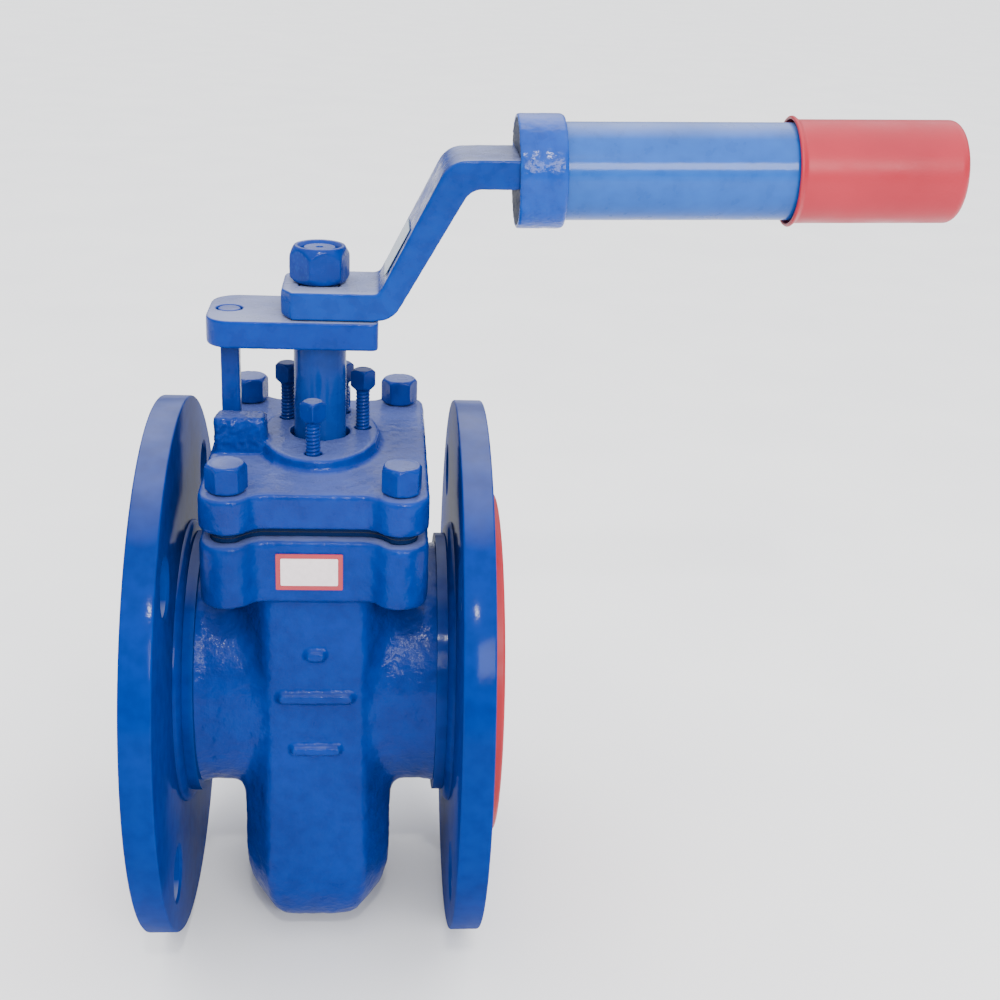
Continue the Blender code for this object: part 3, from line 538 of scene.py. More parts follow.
BLUE = (0.0006, 0.022, 0.19)
PAINT = {
    "body_paint": enamel("body_enamel", BLUE, cast=0.7, peel=0.4, rough=0.34),
    # The flange enamel is the body blue painted darker: painted shade for the shaded flange rims and faces.
    "flange_paint": enamel("flange_enamel", shaded(BLUE, 0.86), cast=0.08, peel=0.1, rough=0.42,
                           coat=0.12, shine=0.0),
    # The bonnet, operator and lever paints have their tops painted pale: partly dust, partly painted sheen.
    "bonnet_paint": enamel("bonnet_enamel", BLUE, cast=0.6, peel=0.4, rough=0.3, coat=0.2, dust_and_sheen=0.24),
    "bolt_paint": enamel("bolt_enamel", shaded(BLUE, 0.96), cast=0.12, peel=0.3, rough=0.28),
    # The adjusting screws are the body blue painted darker: painted shade for the shaded rear screws.
    "screw_paint": enamel("screw_enamel", shaded(BLUE, 0.85), cast=0.1, peel=0.2, rough=0.28),
    "stem_paint": enamel("stem_enamel", BLUE, cast=0.08, peel=0.2, rough=0.24),
    "operator_paint": enamel("operator_enamel", BLUE, cast=0.25, peel=0.35, rough=0.28, dust_and_sheen=0.7),
    "pin_paint": enamel("pin_enamel", shaded(BLUE, 0.95), cast=0.15, peel=0.2, rough=0.28),
    "lever_paint": enamel("lever_enamel", (0.0012, 0.03, 0.215), cast=0.2, peel=0.3, rough=0.26, dust_and_sheen=0.9),
    "nut_paint": enamel("nut_enamel", shaded(BLUE, 1.05), cast=0.08, peel=0.25, rough=0.26),
    "collar_paint": enamel("collar_enamel", (0.003, 0.05, 0.31), cast=0.35, peel=0.35, rough=0.28, coat=0.25),
    "tube_paint": enamel("tube_enamel", (0.004, 0.062, 0.32), cast=0.05, peel=0.1, rough=0.3, coat=0.4),
    "cap_plastic": plastic("cap_vinyl", (0.34, 0.013, 0.028), 0.36, 0.25),
    "cover_plastic": plastic("cover_vinyl", (0.32, 0.01, 0.02), 0.4, 0.2),
    # The diaphragm edges carry the enamel painted over them, darkened to near black as painted shade for the
    # gap between body and bonnet.
    "gasket_paint": enamel("gasket_enamel_and_shade", shaded(BLUE, 0.22), cast=0.3, peel=0.3, rough=0.6, coat=0.0),
    "collar_face": enamel("forged_face", (0.03, 0.04, 0.075), cast=0.9, peel=0.6, rough=0.62, coat=0.05),
    "label_line": enamel("label_outline", (0.12, 0.16, 0.25), cast=0.1, peel=0.1, rough=0.5, coat=0.0),
    "seal_plastic": plastic("seal_ptfe", (0.78, 0.78, 0.75), 0.42, 0.1),
    "bare_steel": metal("machined_steel", (0.55, 0.55, 0.56), 0.3),
    "label_foil": paper("label_grey", (0.34, 0.4, 0.47), 0.5),
    "sticker_paper": paper("sticker_pale", (0.72, 0.63, 0.64), 0.4),
    "sticker_red": paper("sticker_edge", (0.33, 0.006, 0.022), 0.4),
}


def finish_piece(obj, body, node, slot, look=None, shade=35.0):
    """Shade, paint and hang a piece on its body in place of its CAD node."""
    if shade:
        smooth_shade(obj, shade)
    obj.data.materials.clear()
    obj.data.materials.append(PAINT[look or slot])
    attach(obj, body)
    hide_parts(node)
    return obj


def repaint(node, slot):
    """Give a carried-over CAD node its detailed finish."""
    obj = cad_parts[node]
    obj.data.materials.clear()
    obj.data.materials.append(PAINT[slot])
    smooth_shade(obj)


# Valve body.

def flange(side):
    """One bolting flange with its rounded hub bead, chamfered edges and grooved raised face."""
    back = FLANGE_X - FLANGE_THICKNESS
    edge = 0.7 * MM
    profile = [(MOUTH_RADIUS, back - 6.0 * MM), (HUB_RADIUS - 4.0 * MM, back - 6.0 * MM)]
    for k in range(9):
        angle = math.pi / 2.0 * k / 8.0
        profile.append((HUB_RADIUS - 4.0 * MM + 4.0 * MM * math.sin(angle),
                        back - HUB_HEIGHT * math.cos(angle)))
    profile += arc(FLANGE_RADIUS - edge, back + edge, edge, -math.pi / 2.0, 0.0, 3)
    profile += arc(FLANGE_RADIUS - edge, FLANGE_X - edge, edge, 0.0, math.pi / 2.0, 3)
    profile += [(RAISED_RADIUS, FLANGE_X), (RAISED_RADIUS - 0.3 * MM, RAISED_X)]
    grooves = 14
    for k in range(grooves):
        radius = RAISED_RADIUS - 3.0 * MM - 1.4 * MM * k
        profile += [(radius, RAISED_X), (radius - 0.5 * MM, RAISED_X - 0.3 * MM),
                    (radius - 1.0 * MM, RAISED_X)]
    profile += [(MOUTH_RADIUS + 1.0 * MM, RAISED_X), (MOUTH_RADIUS, RAISED_X - 1.0 * MM)]
    bm = along_x(turned(profile, 192, closed=True))
    if side < 0.0:
        bm.transform(Matrix.Scale(-1.0, 4, Vector((1.0, 0.0, 0.0))))
    name = "left" if side < 0.0 else "right"
    disc = make(f"flange_{name}", bm)
    holes = []
    lead = 0.8 * MM
    for k in range(4):
        angle = math.pi / 4.0 + math.pi / 2.0 * k
        hole = [(FLANGE_HOLE + 3.0 * lead, back - 2.0 * lead), (FLANGE_HOLE, back + lead),
                (FLANGE_HOLE, FLANGE_X - lead), (FLANGE_HOLE + 3.0 * lead, FLANGE_X + 2.0 * lead)]
        bm = along_x(turned(hole, 48))
        if side < 0.0:
            bm.transform(Matrix.Scale(-1.0, 4, Vector((1.0, 0.0, 0.0))))
        place = (0.0, BOLT_CIRCLE * math.cos(angle), FLOW + BOLT_CIRCLE * math.sin(angle))
        holes.append(make("hole", bm, place))
    combine(disc, holes, "DIFFERENCE")
    finish_piece(disc, "valve", "valve_body", "body_paint", "flange_paint", 30.0)


def passage(side):
    """Cutter for one side of the flow passage: round mouth to tall port."""
    port = rounded([(PORT_HEIGHT, -PORT_WIDTH), (PORT_HEIGHT, PORT_WIDTH),
                    (-PORT_HEIGHT, PORT_WIDTH), (-PORT_HEIGHT, -PORT_WIDTH)], 3.0 * MM, 15)
    count = len(port)
    mouth = circle(MOUTH_RADIUS, count, -math.pi / 4.0 + math.pi / count)
    steps = 10
    rings = [[(side * 10.0 * MM, b, a) for a, b in port]]
    for k in range(steps + 1):
        share = k / steps
        blend = share * share * (3.0 - 2.0 * share)
        x = (23.0 + 23.0 * share) * MM
        rings.append([(side * x, p[1] + (m[1] - p[1]) * blend, p[0] + (m[0] - p[0]) * blend)
                      for p, m in zip(port, mouth)])
    rings.append([(side * (RAISED_X + 3.0 * MM), b, a) for a, b in mouth])
    return make("passage", skin(rings))


def plug_radius(height):
    return PLUG_RADIUS - (PLUG_TOP - height) * math.tan(PLUG_TAPER)


def foundry_marks():
    """Plain raised ribs cast across the front panel: a short, a long and a middling one."""
    marks = []
    front = -BARREL_Y
    half_height = MARK_HEIGHT / 2.0
    for height, half_length in ((25.0 * MM, 3.4 * MM), (9.0 * MM, 12.6 * MM), (-11.0 * MM, 8.6 * MM)):
        rings = []
        for depth, inset in ((0.6 * MM, 0.0), (-1.6 * MM, 0.0), (-2.0 * MM, 0.6 * MM)):
            reach, rise = half_length - inset, half_height - inset
            outline = rounded([(-reach, height - rise), (reach, height - rise),
                               (reach, height + rise), (-reach, height + rise)], 0.9 * rise, 6)
            rings.append([(x, front + depth, z) for x, z in outline])
        marks.append(make("mark", skin(rings)))
    return marks


def casting():
    """Necks, barrel and top flange as one rough casting with blended joints."""
    reach = FLANGE_X - FLANGE_THICKNESS - HUB_HEIGHT
    flare = 4.0 * MM
    half = [(NECK_RADIUS + flare * (1.0 - math.cos(a)), reach - flare * (1.0 - math.sin(a)))
            for a in (0.0, 0.4, 0.8, 1.2, math.pi / 2.0)]
    half.append((NECK_RADIUS + flare, reach + 1.5 * MM))
    profile = [(radius, -x) for radius, x in reversed(half)] + half
    body = make("body_casting", along_x(turned(profile, 128)))
    depth = FLOW + ROUND_START
    sections = [(TOP_LOW + 6.0 * MM, barrel_outline(0.0))]
    for k in range(13):
        angle = math.pi / 2.0 * k / 12.0
        inset = ROUND_INSET * (1.0 - math.cos(angle))
        sections.append((ROUND_START - depth * math.sin(angle), barrel_outline(inset)))
    top = bevel(make("top", prism(lobed_outline(), TOP_LOW, TOP_HIGH)), 1.6 * MM, 3, 60.0)
    combine(body, [make("barrel", stacked(sections)), top] + foundry_marks(), "UNION")
    over = TOP_HIGH + 1.0 * MM
    bore = [(plug_radius(h) + SLEEVE_WALL, h) for h in (-68.0 * MM, over)]
    cutters = [make("bore", turned(bore, 96)), passage(-1.0), passage(1.0)]
    for sx, sy in ((-1, -1), (1, -1), (1, 1), (-1, 1)):
        hole = turned([(BOLT_HOLE, TAPPED_END), (BOLT_HOLE, over)], 24)
        cutters.append(make("tapped", hole, (sx * CORNER_X, sy * CORNER_Y, FLOW)))
    combine(body, cutters, "DIFFERENCE")
    remesh(body, CASTING_VOXEL)

    def share(points):
        """Full smoothing on the outer joints, less on the top flange, little on marks and bores."""
        x, y, z = np.abs(points[:, 0]), np.abs(points[:, 1]), points[:, 2] - FLOW
        outside = np.hypot(y, z) > MOUTH_RADIUS + 1.0 * MM
        near_marks = (x < 18.0 * MM) & (z < 34.0 * MM) & (z > -22.0 * MM)
        marks = (points[:, 1] < -BARREL_Y + 0.8 * MM) & near_marks
        top_part = z > TOP_LOW - 1.0 * MM
        return np.where(outside, np.where(marks, 0.03, np.where(top_part, 0.5, 1.0)), 0.1)

    relax(body, 60, share, 0.1)
    roughen(body, 0.22 * MM, 4.5 * MM, lambda p: 1.0 if abs(p.x) < reach - 1.0 * MM else 0.0)
    finish_piece(body, "valve", "valve_body", "body_paint", shade=0.0)
    body.data.shade_smooth()


# Bonnet.

ADJUSTERS = [(ADJUSTER_OVAL[0] * math.cos(math.radians(a)), ADJUSTER_OVAL[1] * math.sin(math.radians(a)))
             for a in ADJUSTER_ANGLES]


def boss_sections():
    """Oval boss that flares into the plate below and is rounded off above."""
    flared = []
    for k in range(7):
        angle = math.pi / 2.0 * k / 6.0
        flare = 3.0 * MM * (1.0 - math.sin(angle))
        height = COVER_TOP + 2.6 * MM * (1.0 - math.cos(angle))
        flared.append((height, oval(BOSS_X + flare, BOSS_Y + flare, 128)))
    root = (COVER_TOP - 2.0 * MM, flared[0][1])
    sections = [root] + flared
    for k in range(5):
        angle = math.pi / 2.0 * k / 4.0
        inset = 1.0 * MM * (1.0 - math.cos(angle))
        height = BOSS_TOP - 1.0 * MM * (1.0 - math.sin(angle))
        sections.append((height, oval(BOSS_X - inset, BOSS_Y - inset, 128)))
    return sections


def bonnet():
    outline = prism(lobed_outline(), COVER_BOTTOM, COVER_TOP)
    plate = bevel(make("bonnet_cover", outline), 1.6 * MM, 3, 60.0)
    back = -PIN_WIDTH / 2.0 - GAP
    block = box((BLOCK_LEFT, BLOCK_FRONT, COVER_TOP - 2.0 * MM), (BLOCK_RIGHT, back, BONNET_HIGH.z - FLOW))
    left = PIN_WIDTH / 2.0 + GAP
    lug = box((left, PIN_OFFSET - 3.1 * MM, COVER_TOP - 2.0 * MM),
              (left + LUG_WIDTH, PIN_OFFSET + 4.5 * MM, LUG_TOP))
    parts = [make("boss", stacked(boss_sections())), bevel(make("block", block), 2.2 * MM, 4),
             bevel(make("lug", lug), 1.0 * MM, 3)]
    combine(plate, parts, "UNION")
    low = COVER_BOTTOM - 1.0 * MM
    high = BOSS_TOP + 1.0 * MM
    pocket = oval(BOSS_X - 2.4 * MM, BOSS_Y - 2.4 * MM, 96)
    cutters = [make("pocket", prism(pocket, low, POCKET_TOP)),
               make("stem_hole", turned([(STEM_HOLE, low), (STEM_HOLE, high)], 64))]
    for x, y in ADJUSTERS:
        hole = turned([(ADJUSTER_HOLE, low), (ADJUSTER_HOLE, high)], 24)
        cutters.append(make("adjuster_hole", hole, (x, y, FLOW)))
    for sx, sy in ((-1, -1), (1, -1), (1, 1), (-1, 1)):
        hole = turned([(BOLT_HOLE, low), (BOLT_HOLE, high)], 24)
        cutters.append(make("bolt_hole", hole, (sx * CORNER_X, sy * CORNER_Y, FLOW)))
    combine(plate, cutters, "DIFFERENCE")
    remesh(plate, BONNET_VOXEL)
    relax(plate, 5, lambda points: np.full(len(points), 0.5))

    def on_block(point):
        """Only the stop block's front, clear of the pin behind it."""
        above = point.z > FLOW + COVER_TOP + 1.5 * MM
        return 1.0 if above and point.x < -16.0 * MM and -15.0 * MM < point.y < -5.0 * MM else 0.0

    roughen(plate, 0.12 * MM, 3.2 * MM, lambda point: 1.0)
    roughen(plate, 0.5 * MM, 1.4 * MM, on_block)
    finish_piece(plate, "valve", "bonnet", "bonnet_paint", shade=0.0)
    plate.data.shade_smooth()


# Fasteners.

def chamfered_head(sides, corner, turn, low, high, slope, count, bottom_slope=0.0):
    """Sections of a polygon head whose corners are turned down by cones top and bottom."""
    sections = []
    steps = 24
    flat = corner * math.cos(math.pi / sides)
    for k in range(steps + 1):
        z = low + (high - low) * k / steps
        limit = 10.0 * corner
        if slope:
            limit = min(limit, 0.93 * flat + (high - z) / slope)
        if bottom_slope:
            limit = min(limit, 0.95 * flat + (z - low) / bottom_slope)
        sections.append((z, head_ring(sides, corner, turn, limit, count)))
    return sections


def bonnet_bolts():
    turns = (8.0, 20.0, 2.0, 14.0)
    for k, (sx, sy) in enumerate(((-1, -1), (1, -1), (1, 1), (-1, 1))):
        turn = math.radians(turns[k])
        low = COVER_TOP + GAP
        count = 96
        top = low + BOLT_HEAD_HEIGHT
        head = chamfered_head(6, BOLT_HEAD_CORNER, turn, low + 0.5 * MM, top, 0.95, count)
        shank = [(low - 27.9 * MM, circle(BOLT_SHANK - 0.5 * MM, count, turn)),
                 (low - 27.2 * MM, circle(BOLT_SHANK, count, turn)),
                 (low, circle(BOLT_SHANK, count, turn)),
                 (low, circle(6.0 * MM, count, turn)),
                 (low + 0.5 * MM, circle(6.0 * MM, count, turn))]
        crown = [(top, circle(5.2 * MM, count, turn)), (top - 0.3 * MM, circle(4.6 * MM, count, turn))]
        bolt = make(f"hex_bolt_{k + 1}", stacked(shank + head + crown), (sx * CORNER_X, sy * CORNER_Y, FLOW))
        thick_paint(bolt, PAINT_SKIN)
        finish_piece(bolt, "valve", f"bonnet_bolt_{k + 1}", "bolt_paint", shade=0.0)


def threaded_shaft(radius, depth, pitch, low, high, count, turn):
    """Rings of a real helical thread with rounded crests, running out at both ends."""
    sections = []
    steps = int((high - low) / pitch * 8)
    for s in range(steps + 1):
        z = low + (high - low) * s / steps
        fade = min(1.0, (z - low) / pitch, (high - z) / pitch)
        ring = []
        for i in range(count):
            angle = turn + 2.0 * math.pi * i / count
            phase = (z / pitch - (angle - turn) / (2.0 * math.pi)) % 1.0
            cut = depth * fade * (0.5 - 0.5 * math.cos(2.0 * math.pi * phase)) ** 1.4
            ring.append(((radius - cut) * math.cos(angle), (radius - cut) * math.sin(angle)))
        sections.append((z, ring))
    return sections


def adjusting_bolts():
    turns = (1.0, 6.0, 12.0, 6.0)
    for k, (x, y) in enumerate(ADJUSTERS):
        node_low, node_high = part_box(f"adjusting_bolt_{k + 1}")
        turn = math.radians(turns[k])
        high = node_high.z - FLOW
        low = high - ADJUSTER_HEAD
        count = 48
        tip = node_low.z - FLOW
        shaft = threaded_shaft(2.45 * MM, 0.42 * MM, 1.25 * MM, tip, low - 0.4 * MM, count, turn)
        head = chamfered_head(4, 4.3 * MM, turn, low, high, 0.7, count, 0.8)
        crown = [(high, circle(2.6 * MM, count, turn)), (high - 0.25 * MM, circle(2.0 * MM, count, turn))]
        screw = make(f"square_screw_{k + 1}", stacked(shaft + head + crown), (x, y, FLOW))
        thick_paint(screw, 0.2 * MM, 3, 0.02 * MM)
        finish_piece(screw, "valve", f"adjusting_bolt_{k + 1}", "screw_paint", shade=0.0)


# Plug, stem and nut.

def plug_core():
    """Tapered plug with its port, ground bright, below the painted stem."""
    point = 0.6 * MM
    foot = plug_radius(PLUG_BOTTOM)
    profile = [(foot - point, PLUG_BOTTOM), (foot, PLUG_BOTTOM + point),
               (PLUG_RADIUS, PLUG_TOP - point), (PLUG_RADIUS - point, PLUG_TOP),
               (STEM_RADIUS + 1.0 * MM, PLUG_TOP), (STEM_RADIUS, PLUG_TOP + 1.0 * MM),
               (STEM_RADIUS, PLUG_TOP + 6.0 * MM)]
    core = make("plug_cone", turned(profile, 128))
    port = rounded([(-PORT_WIDTH, -PORT_HEIGHT), (PORT_WIDTH, -PORT_HEIGHT),
                    (PORT_WIDTH, PORT_HEIGHT), (-PORT_WIDTH, PORT_HEIGHT)], 2.0 * MM, 5)
    rings = [[(x, a, b) for a, b in port] for x in (-40.0 * MM, 40.0 * MM)]
    combine(core, [make("port", skin(rings))], "DIFFERENCE")
    finish_piece(core, "operator", "plug", "bare_steel", shade=30.0)


def stem():
    """Painted stem: round shaft, square for plate and lever, threaded centre-drilled end."""
    count = 96
    turn = math.pi / 4.0
    shoulder = PLATE_LOW.z - FLOW - GAP
    square_end = NUT_LOW.z - FLOW - 2.0 * GAP
    top = PLUG_HIGH.z - FLOW
    square = head_ring(4, STEM_SQUARE / math.sqrt(2.0), turn, STEM_RADIUS, count)
    sections = [(PLUG_TOP + 6.2 * MM, circle(STEM_RADIUS, count, turn)),
                (shoulder - 0.5 * MM, circle(STEM_RADIUS, count, turn)),
                (shoulder, circle(STEM_RADIUS - 0.5 * MM, count, turn)),
                (shoulder, square), (square_end, square)]
    sections += threaded_shaft(THREAD_RADIUS, 0.5 * MM, 1.6 * MM, square_end, top - 0.7 * MM, count, turn)
    sections += [(top, circle(THREAD_RADIUS - 0.8 * MM, count, turn)),
                 (top, circle(1.3 * MM, count, turn)),
                 (top - 0.9 * MM, circle(0.7 * MM, count, turn)),
                 (top - 2.0 * MM, circle(0.6 * MM, count, turn))]
    shaft = make("stem_shaft", stacked(sections))
    finish_piece(shaft, "operator", "plug", "stem_paint", shade=30.0)


def stem_nut():
    turn = math.radians(14.0)
    count = 120
    low, high = NUT_LOW.z - FLOW, NUT_HIGH.z - FLOW
    outer = chamfered_head(6, NUT_CORNER, turn, low, high, 1.7, count, 1.0)
    bore = [(high, circle(7.4 * MM, count, turn)), (high - 1.3 * MM, circle(6.1 * MM, count, turn)),
            (low + 0.8 * MM, circle(6.1 * MM, count, turn)), (low, circle(6.9 * MM, count, turn))]
    nut = make("hex_nut", stacked(outer + bore, closed=True))
    thick_paint(nut, PAINT_SKIN)
    finish_piece(nut, "operator", "stem_nut", "nut_paint", shade=0.0)


# Stop plate, pin, lever and handle.

def stop_plate():
    half = PLATE_HIGH.y
    left, right = PLATE_LOW.x, PLATE_HIGH.x
    low, high = PLATE_LOW.z - FLOW, PLATE_HIGH.z - FLOW
    rough_left = rounded([(left, half), (left, -half), (0.0, -half), (0.0, half)], 9.0 * MM, 12)
    rough_right = rounded([(0.0, half), (0.0, -half), (right, -half), (right, half)], 2.0 * MM, 6)
    outline = [p for p in rough_left if p[0] < left / 2.0] + [p for p in rough_right if p[0] > right / 2.0]
    plate = make("stop_plate_bar", prism(outline, low, high))
    side = STEM_SQUARE / 2.0 + GAP
    hole = make("square", box((-side, -side, low - MM), (side, side, high + MM)))
    sink = turned([(4.2 * MM, low - MM), (4.2 * MM, high - 0.4 * MM), (4.9 * MM, high + MM)], 64)
    pin = make("pin_hole", sink, (-PIN_OFFSET, 0.0, FLOW))
    combine(plate, [hole, pin], "DIFFERENCE")
    thick_paint(plate, 0.4 * MM, 10)
    finish_piece(plate, "operator", "stop_plate", "operator_paint", shade=0.0)


def stop_pin():
    half = PIN_WIDTH / 2.0
    count = 64
    turn = math.pi / 4.0
    corner = math.hypot(half, half)
    below = PLATE_LOW.z - FLOW - GAP
    low, high = PIN_LOW.z - FLOW, PIN_HIGH.z - FLOW
    square = head_ring(4, corner, turn, 0.93 * corner, count)
    sections = [(low, [(0.86 * x, 0.86 * y) for x, y in square]), (low + 0.4 * MM, square), (below, square),
                (below, circle(3.9 * MM, count, turn)), (high - 0.5 * MM, circle(3.9 * MM, count, turn)),
                (high - 0.1 * MM, circle(3.5 * MM, count, turn)), (high, circle(2.6 * MM, count, turn))]
    pin = make("square_pin", stacked(sections), (-PIN_OFFSET, 0.0, FLOW))
    thick_paint(pin, PAINT_SKIN)
    finish_piece(pin, "operator", "stop_pin", "pin_paint", shade=0.0)


def lever_side():
    """Side outline of the cranked bar in X and Z with smooth bends."""
    arm = ARM_BOTTOM + (LEVER_END - CRANK_END) * math.tan(HANDLE_RISE)
    low = LEVER_LOW.z - FLOW
    left = LEVER_LOW.x
    corners = [(left, low), (LEVER_BEND_LOW, low), (CRANK_END, ARM_BOTTOM), (LEVER_END, arm),
               (LEVER_END, arm + ARM_THICKNESS),
               (ARM_BEND_HIGH, ARM_BOTTOM + ARM_THICKNESS - 0.3 * MM),
               (LEVER_BEND_HIGH, LEVER_TOP), (left, LEVER_TOP)]
    radii = [MM, 9.0 * MM, 6.0 * MM, 0.3 * MM, 0.3 * MM, 9.0 * MM, 3.0 * MM, MM]
    return rounded(corners, radii, 10)


def lever():
    half = LEVER_HIGH.y
    rings = [[(x, y, z) for x, z in lever_side()] for y in (-half, half)]
    bar = make("lever_flat_bar", skin(rings))
    side = STEM_SQUARE / 2.0 + GAP
    low, high = LEVER_LOW.z - FLOW - MM, 142.0 * MM
    cutters = [make("square", box((-side, -side, low), (side, side, high)))]
    left, cut_x, cut_y = LEVER_LOW.x, 3.6 * MM, 6.2 * MM
    for way in (-1.0, 1.0):
        outline = [(left - cut_x, way * (half - 2.0 * cut_y)), (left + 2.0 * cut_x, way * (half + cut_y)),
                   (left - cut_x, way * (half + cut_y))]
        cutters.append(make("corner", prism(outline, low, high)))
    combine(bar, cutters, "DIFFERENCE")
    thick_paint(bar, 0.5 * MM, 10)
    finish_piece(bar, "operator", "lever_bar", "lever_paint", shade=0.0)


def handle_place(bm):
    """Move a solid built along +X from the collar's end face to the tilted handle axis."""
    height = ARM_BOTTOM + 0.8 * MM + ARM_THICKNESS / 2.0 - HANDLE_DROP
    height += (COLLAR_START - CRANK_END) * math.tan(HANDLE_RISE)
    bm.transform(Matrix.Rotation(-HANDLE_RISE, 4, "Y"))
    bm.transform(Matrix.Translation((COLLAR_START, 0.0, height)))
    return bm


def handle_collar():
    bore = TUBE_RADIUS + GAP
    face = 0.8 * MM
    profile = [(COLLAR_RADIUS - 1.0 * MM, face)]
    profile += arc(COLLAR_RADIUS - 0.9 * MM, 0.9 * MM, 0.9 * MM, -math.pi / 2.0, 0.0, 4)
    profile += [(COLLAR_RADIUS, COLLAR_LENGTH - 1.2 * MM),
                (COLLAR_RADIUS - 0.5 * MM, COLLAR_LENGTH - 0.4 * MM),
                (COLLAR_RADIUS - 1.3 * MM, COLLAR_LENGTH),
                (bore, COLLAR_LENGTH), (bore, 5.0 * MM), (bore, face)]
    collar = make("collar_ring", handle_place(along_x(turned(profile, 160, closed=True))))
    thick_paint(collar, 0.45 * MM, 4, 0.1 * MM)
    finish_piece(collar, "operator", "handle_collar", "collar_paint", shade=0.0)
    disc = turned([(COLLAR_RADIUS - 1.3 * MM, 0.15 * MM), (COLLAR_RADIUS - 1.1 * MM, 1.2 * MM),
                   (2.0 * MM, 1.2 * MM), (2.0 * MM, 0.15 * MM)], 96, closed=True)
    plate = make("collar_end_face", handle_place(along_x(disc)))
    half_y, half_z = LEVER_HIGH.y + 0.1 * MM, ARM_THICKNESS / 2.0 + 0.1 * MM
    slot = box((-MM, -half_y, HANDLE_DROP - half_z), (3.0 * MM, half_y, HANDLE_DROP + half_z))
    combine(plate, [make("slot", handle_place(slot))], "DIFFERENCE")
    remesh(plate, 0.35 * MM)
    roughen(plate, 0.16 * MM, 1.6 * MM, lambda point: 1.0)
    finish_piece(plate, "operator", "handle_collar", "collar_paint", "collar_face", shade=40.0)


def handle_tube():
    low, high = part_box("handle_tube")
    start = 6.0 * MM
    end = start + (high.x - low.x) / math.cos(HANDLE_RISE) - 1.4 * MM
    inner = TUBE_RADIUS - 2.2 * MM
    edge = 0.3 * MM
    profile = [(TUBE_RADIUS - edge, start), (TUBE_RADIUS, start + edge), (TUBE_RADIUS, end - edge),
               (TUBE_RADIUS - edge, end), (inner, end), (inner, start)]
    tube = make("pipe_handle", handle_place(along_x(turned(profile, 160, closed=True))))
    finish_piece(tube, "operator", "handle_tube", "tube_paint")


def handle_cap():
    """Dipped end cap: thin flared lip, straight sleeve and a softly rounded end."""
    bore = TUBE_RADIUS + GAP
    lip = 1.4 * MM
    end = CAP_START + CAP_LENGTH - 0.2 * MM
    profile = [(bore, CAP_START + 40.0 * MM), (bore, CAP_START + 2.0 * MM),
               (bore + 0.7 * MM, CAP_START + 0.6 * MM)]
    profile += arc(CAP_LIP_RADIUS - 0.7 * MM, CAP_START + 0.7 * MM, 0.68 * MM,
                   -math.pi * 0.75, math.pi * 0.25, 10)
    profile += arc(CAP_RADIUS + lip, CAP_START + 2.9 * MM, lip, -math.pi * 0.75, -math.pi, 6)
    round_off = 3.4 * MM
    profile += arc(CAP_RADIUS - round_off, end - round_off, round_off, 0.0, math.pi / 2.0, 12)
    cap = make("end_cap", handle_place(along_x(turned(profile, 160))))
    finish_piece(cap, "operator", "handle_cap", "cap_plastic", shade=60.0)


def lever_label():
    """Blank pale strip with a thin printed outline, lying on the sloping side of the crank."""
    low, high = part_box("lever_label")
    slope = Vector((high.x - low.x - 0.35 * MM, 0.0, high.z - low.z - 0.2 * MM))
    along = slope.normalized()
    outward = Vector((-along.z, 0.0, along.x))
    start = Vector((low.x + 0.36 * MM, 0.0, low.z))
    length = slope.length

    def sheet(name, inset, bottom, top):
        corners = rounded([(inset, -high.y + inset), (length - inset, -high.y + inset),
                           (length - inset, high.y - inset), (inset, high.y - inset)], 1.0 * MM, 5)
        rings = [[tuple(start + along * a + Vector((0.0, b, 0.0)) + outward * lift) for a, b in corners]
                 for lift in (bottom, top)]
        return make(name, skin(rings), (0.0, 0.0, 0.0))

    line = sheet("label_outline", 1.0 * MM, 0.0, 0.12 * MM)
    finish_piece(line, "operator", "lever_label", "label_foil", "label_line")
    strip = sheet("label_strip", 1.4 * MM, 0.05 * MM, 0.2 * MM)
    finish_piece(strip, "operator", "lever_label", "label_foil")


def sticker():
    """Blank inspection sticker: red sheet with a pale panel on it."""
    low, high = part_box("inspection_sticker")

    def sheet(name, inset, back, front):
        corners = rounded([(low.x + inset, low.z + inset), (high.x - inset, low.z + inset),
                           (high.x - inset, high.z - inset), (low.x + inset, high.z - inset)], 0.4 * MM, 4)
        rings = [[(x, y, z) for x, z in corners] for y in (back, front)]
        return make(name, skin(rings), (0.0, 0.0, 0.0))

    border = sheet("sticker_border", 0.05 * MM, high.y, low.y + 0.15 * MM)
    finish_piece(border, "valve", "inspection_sticker", "sticker_paper", "sticker_red")
    panel = sheet("sticker_panel", 1.6 * MM, low.y + 0.2 * MM, low.y + 0.02 * MM)
    finish_piece(panel, "valve", "inspection_sticker", "sticker_paper")


def flange_cover(side):
    """Moulded disc with a rolled rim, a shallow dish and raised rings."""
    word = "left" if side < 0.0 else "right"
    low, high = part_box(f"{word}_flange_cover")
    radius = (high.y - low.y) / 2.0
    thick = high.x - low.x
    profile = [(radius - 0.4 * MM, 0.0), (radius, 0.4 * MM)]
    profile += arc(radius - 1.0 * MM, thick - 1.0 * MM, 0.98 * MM, 0.0, math.pi / 2.0, 6)
    dish, ring = thick - 1.2 * MM, thick - 0.5 * MM
    profile += [(radius - 5.0 * MM, thick), (radius - 6.4 * MM, dish), (40.6 * MM, dish),
                (40.0 * MM, ring), (38.4 * MM, ring), (37.8 * MM, dish),
                (12.6 * MM, dish), (12.0 * MM, ring), (1.0 * MM, ring)]
    bm = along_x(turned(profile, 160))
    bm.transform(Matrix.Scale(side, 4, Vector((1.0, 0.0, 0.0))))
    inner = low.x if side > 0.0 else high.x
    disc = make(f"{word}_cover_disc", bm, (inner, 0.0, FLOW))
    finish_piece(disc, f"{word}_cover", f"{word}_flange_cover", "cover_plastic")


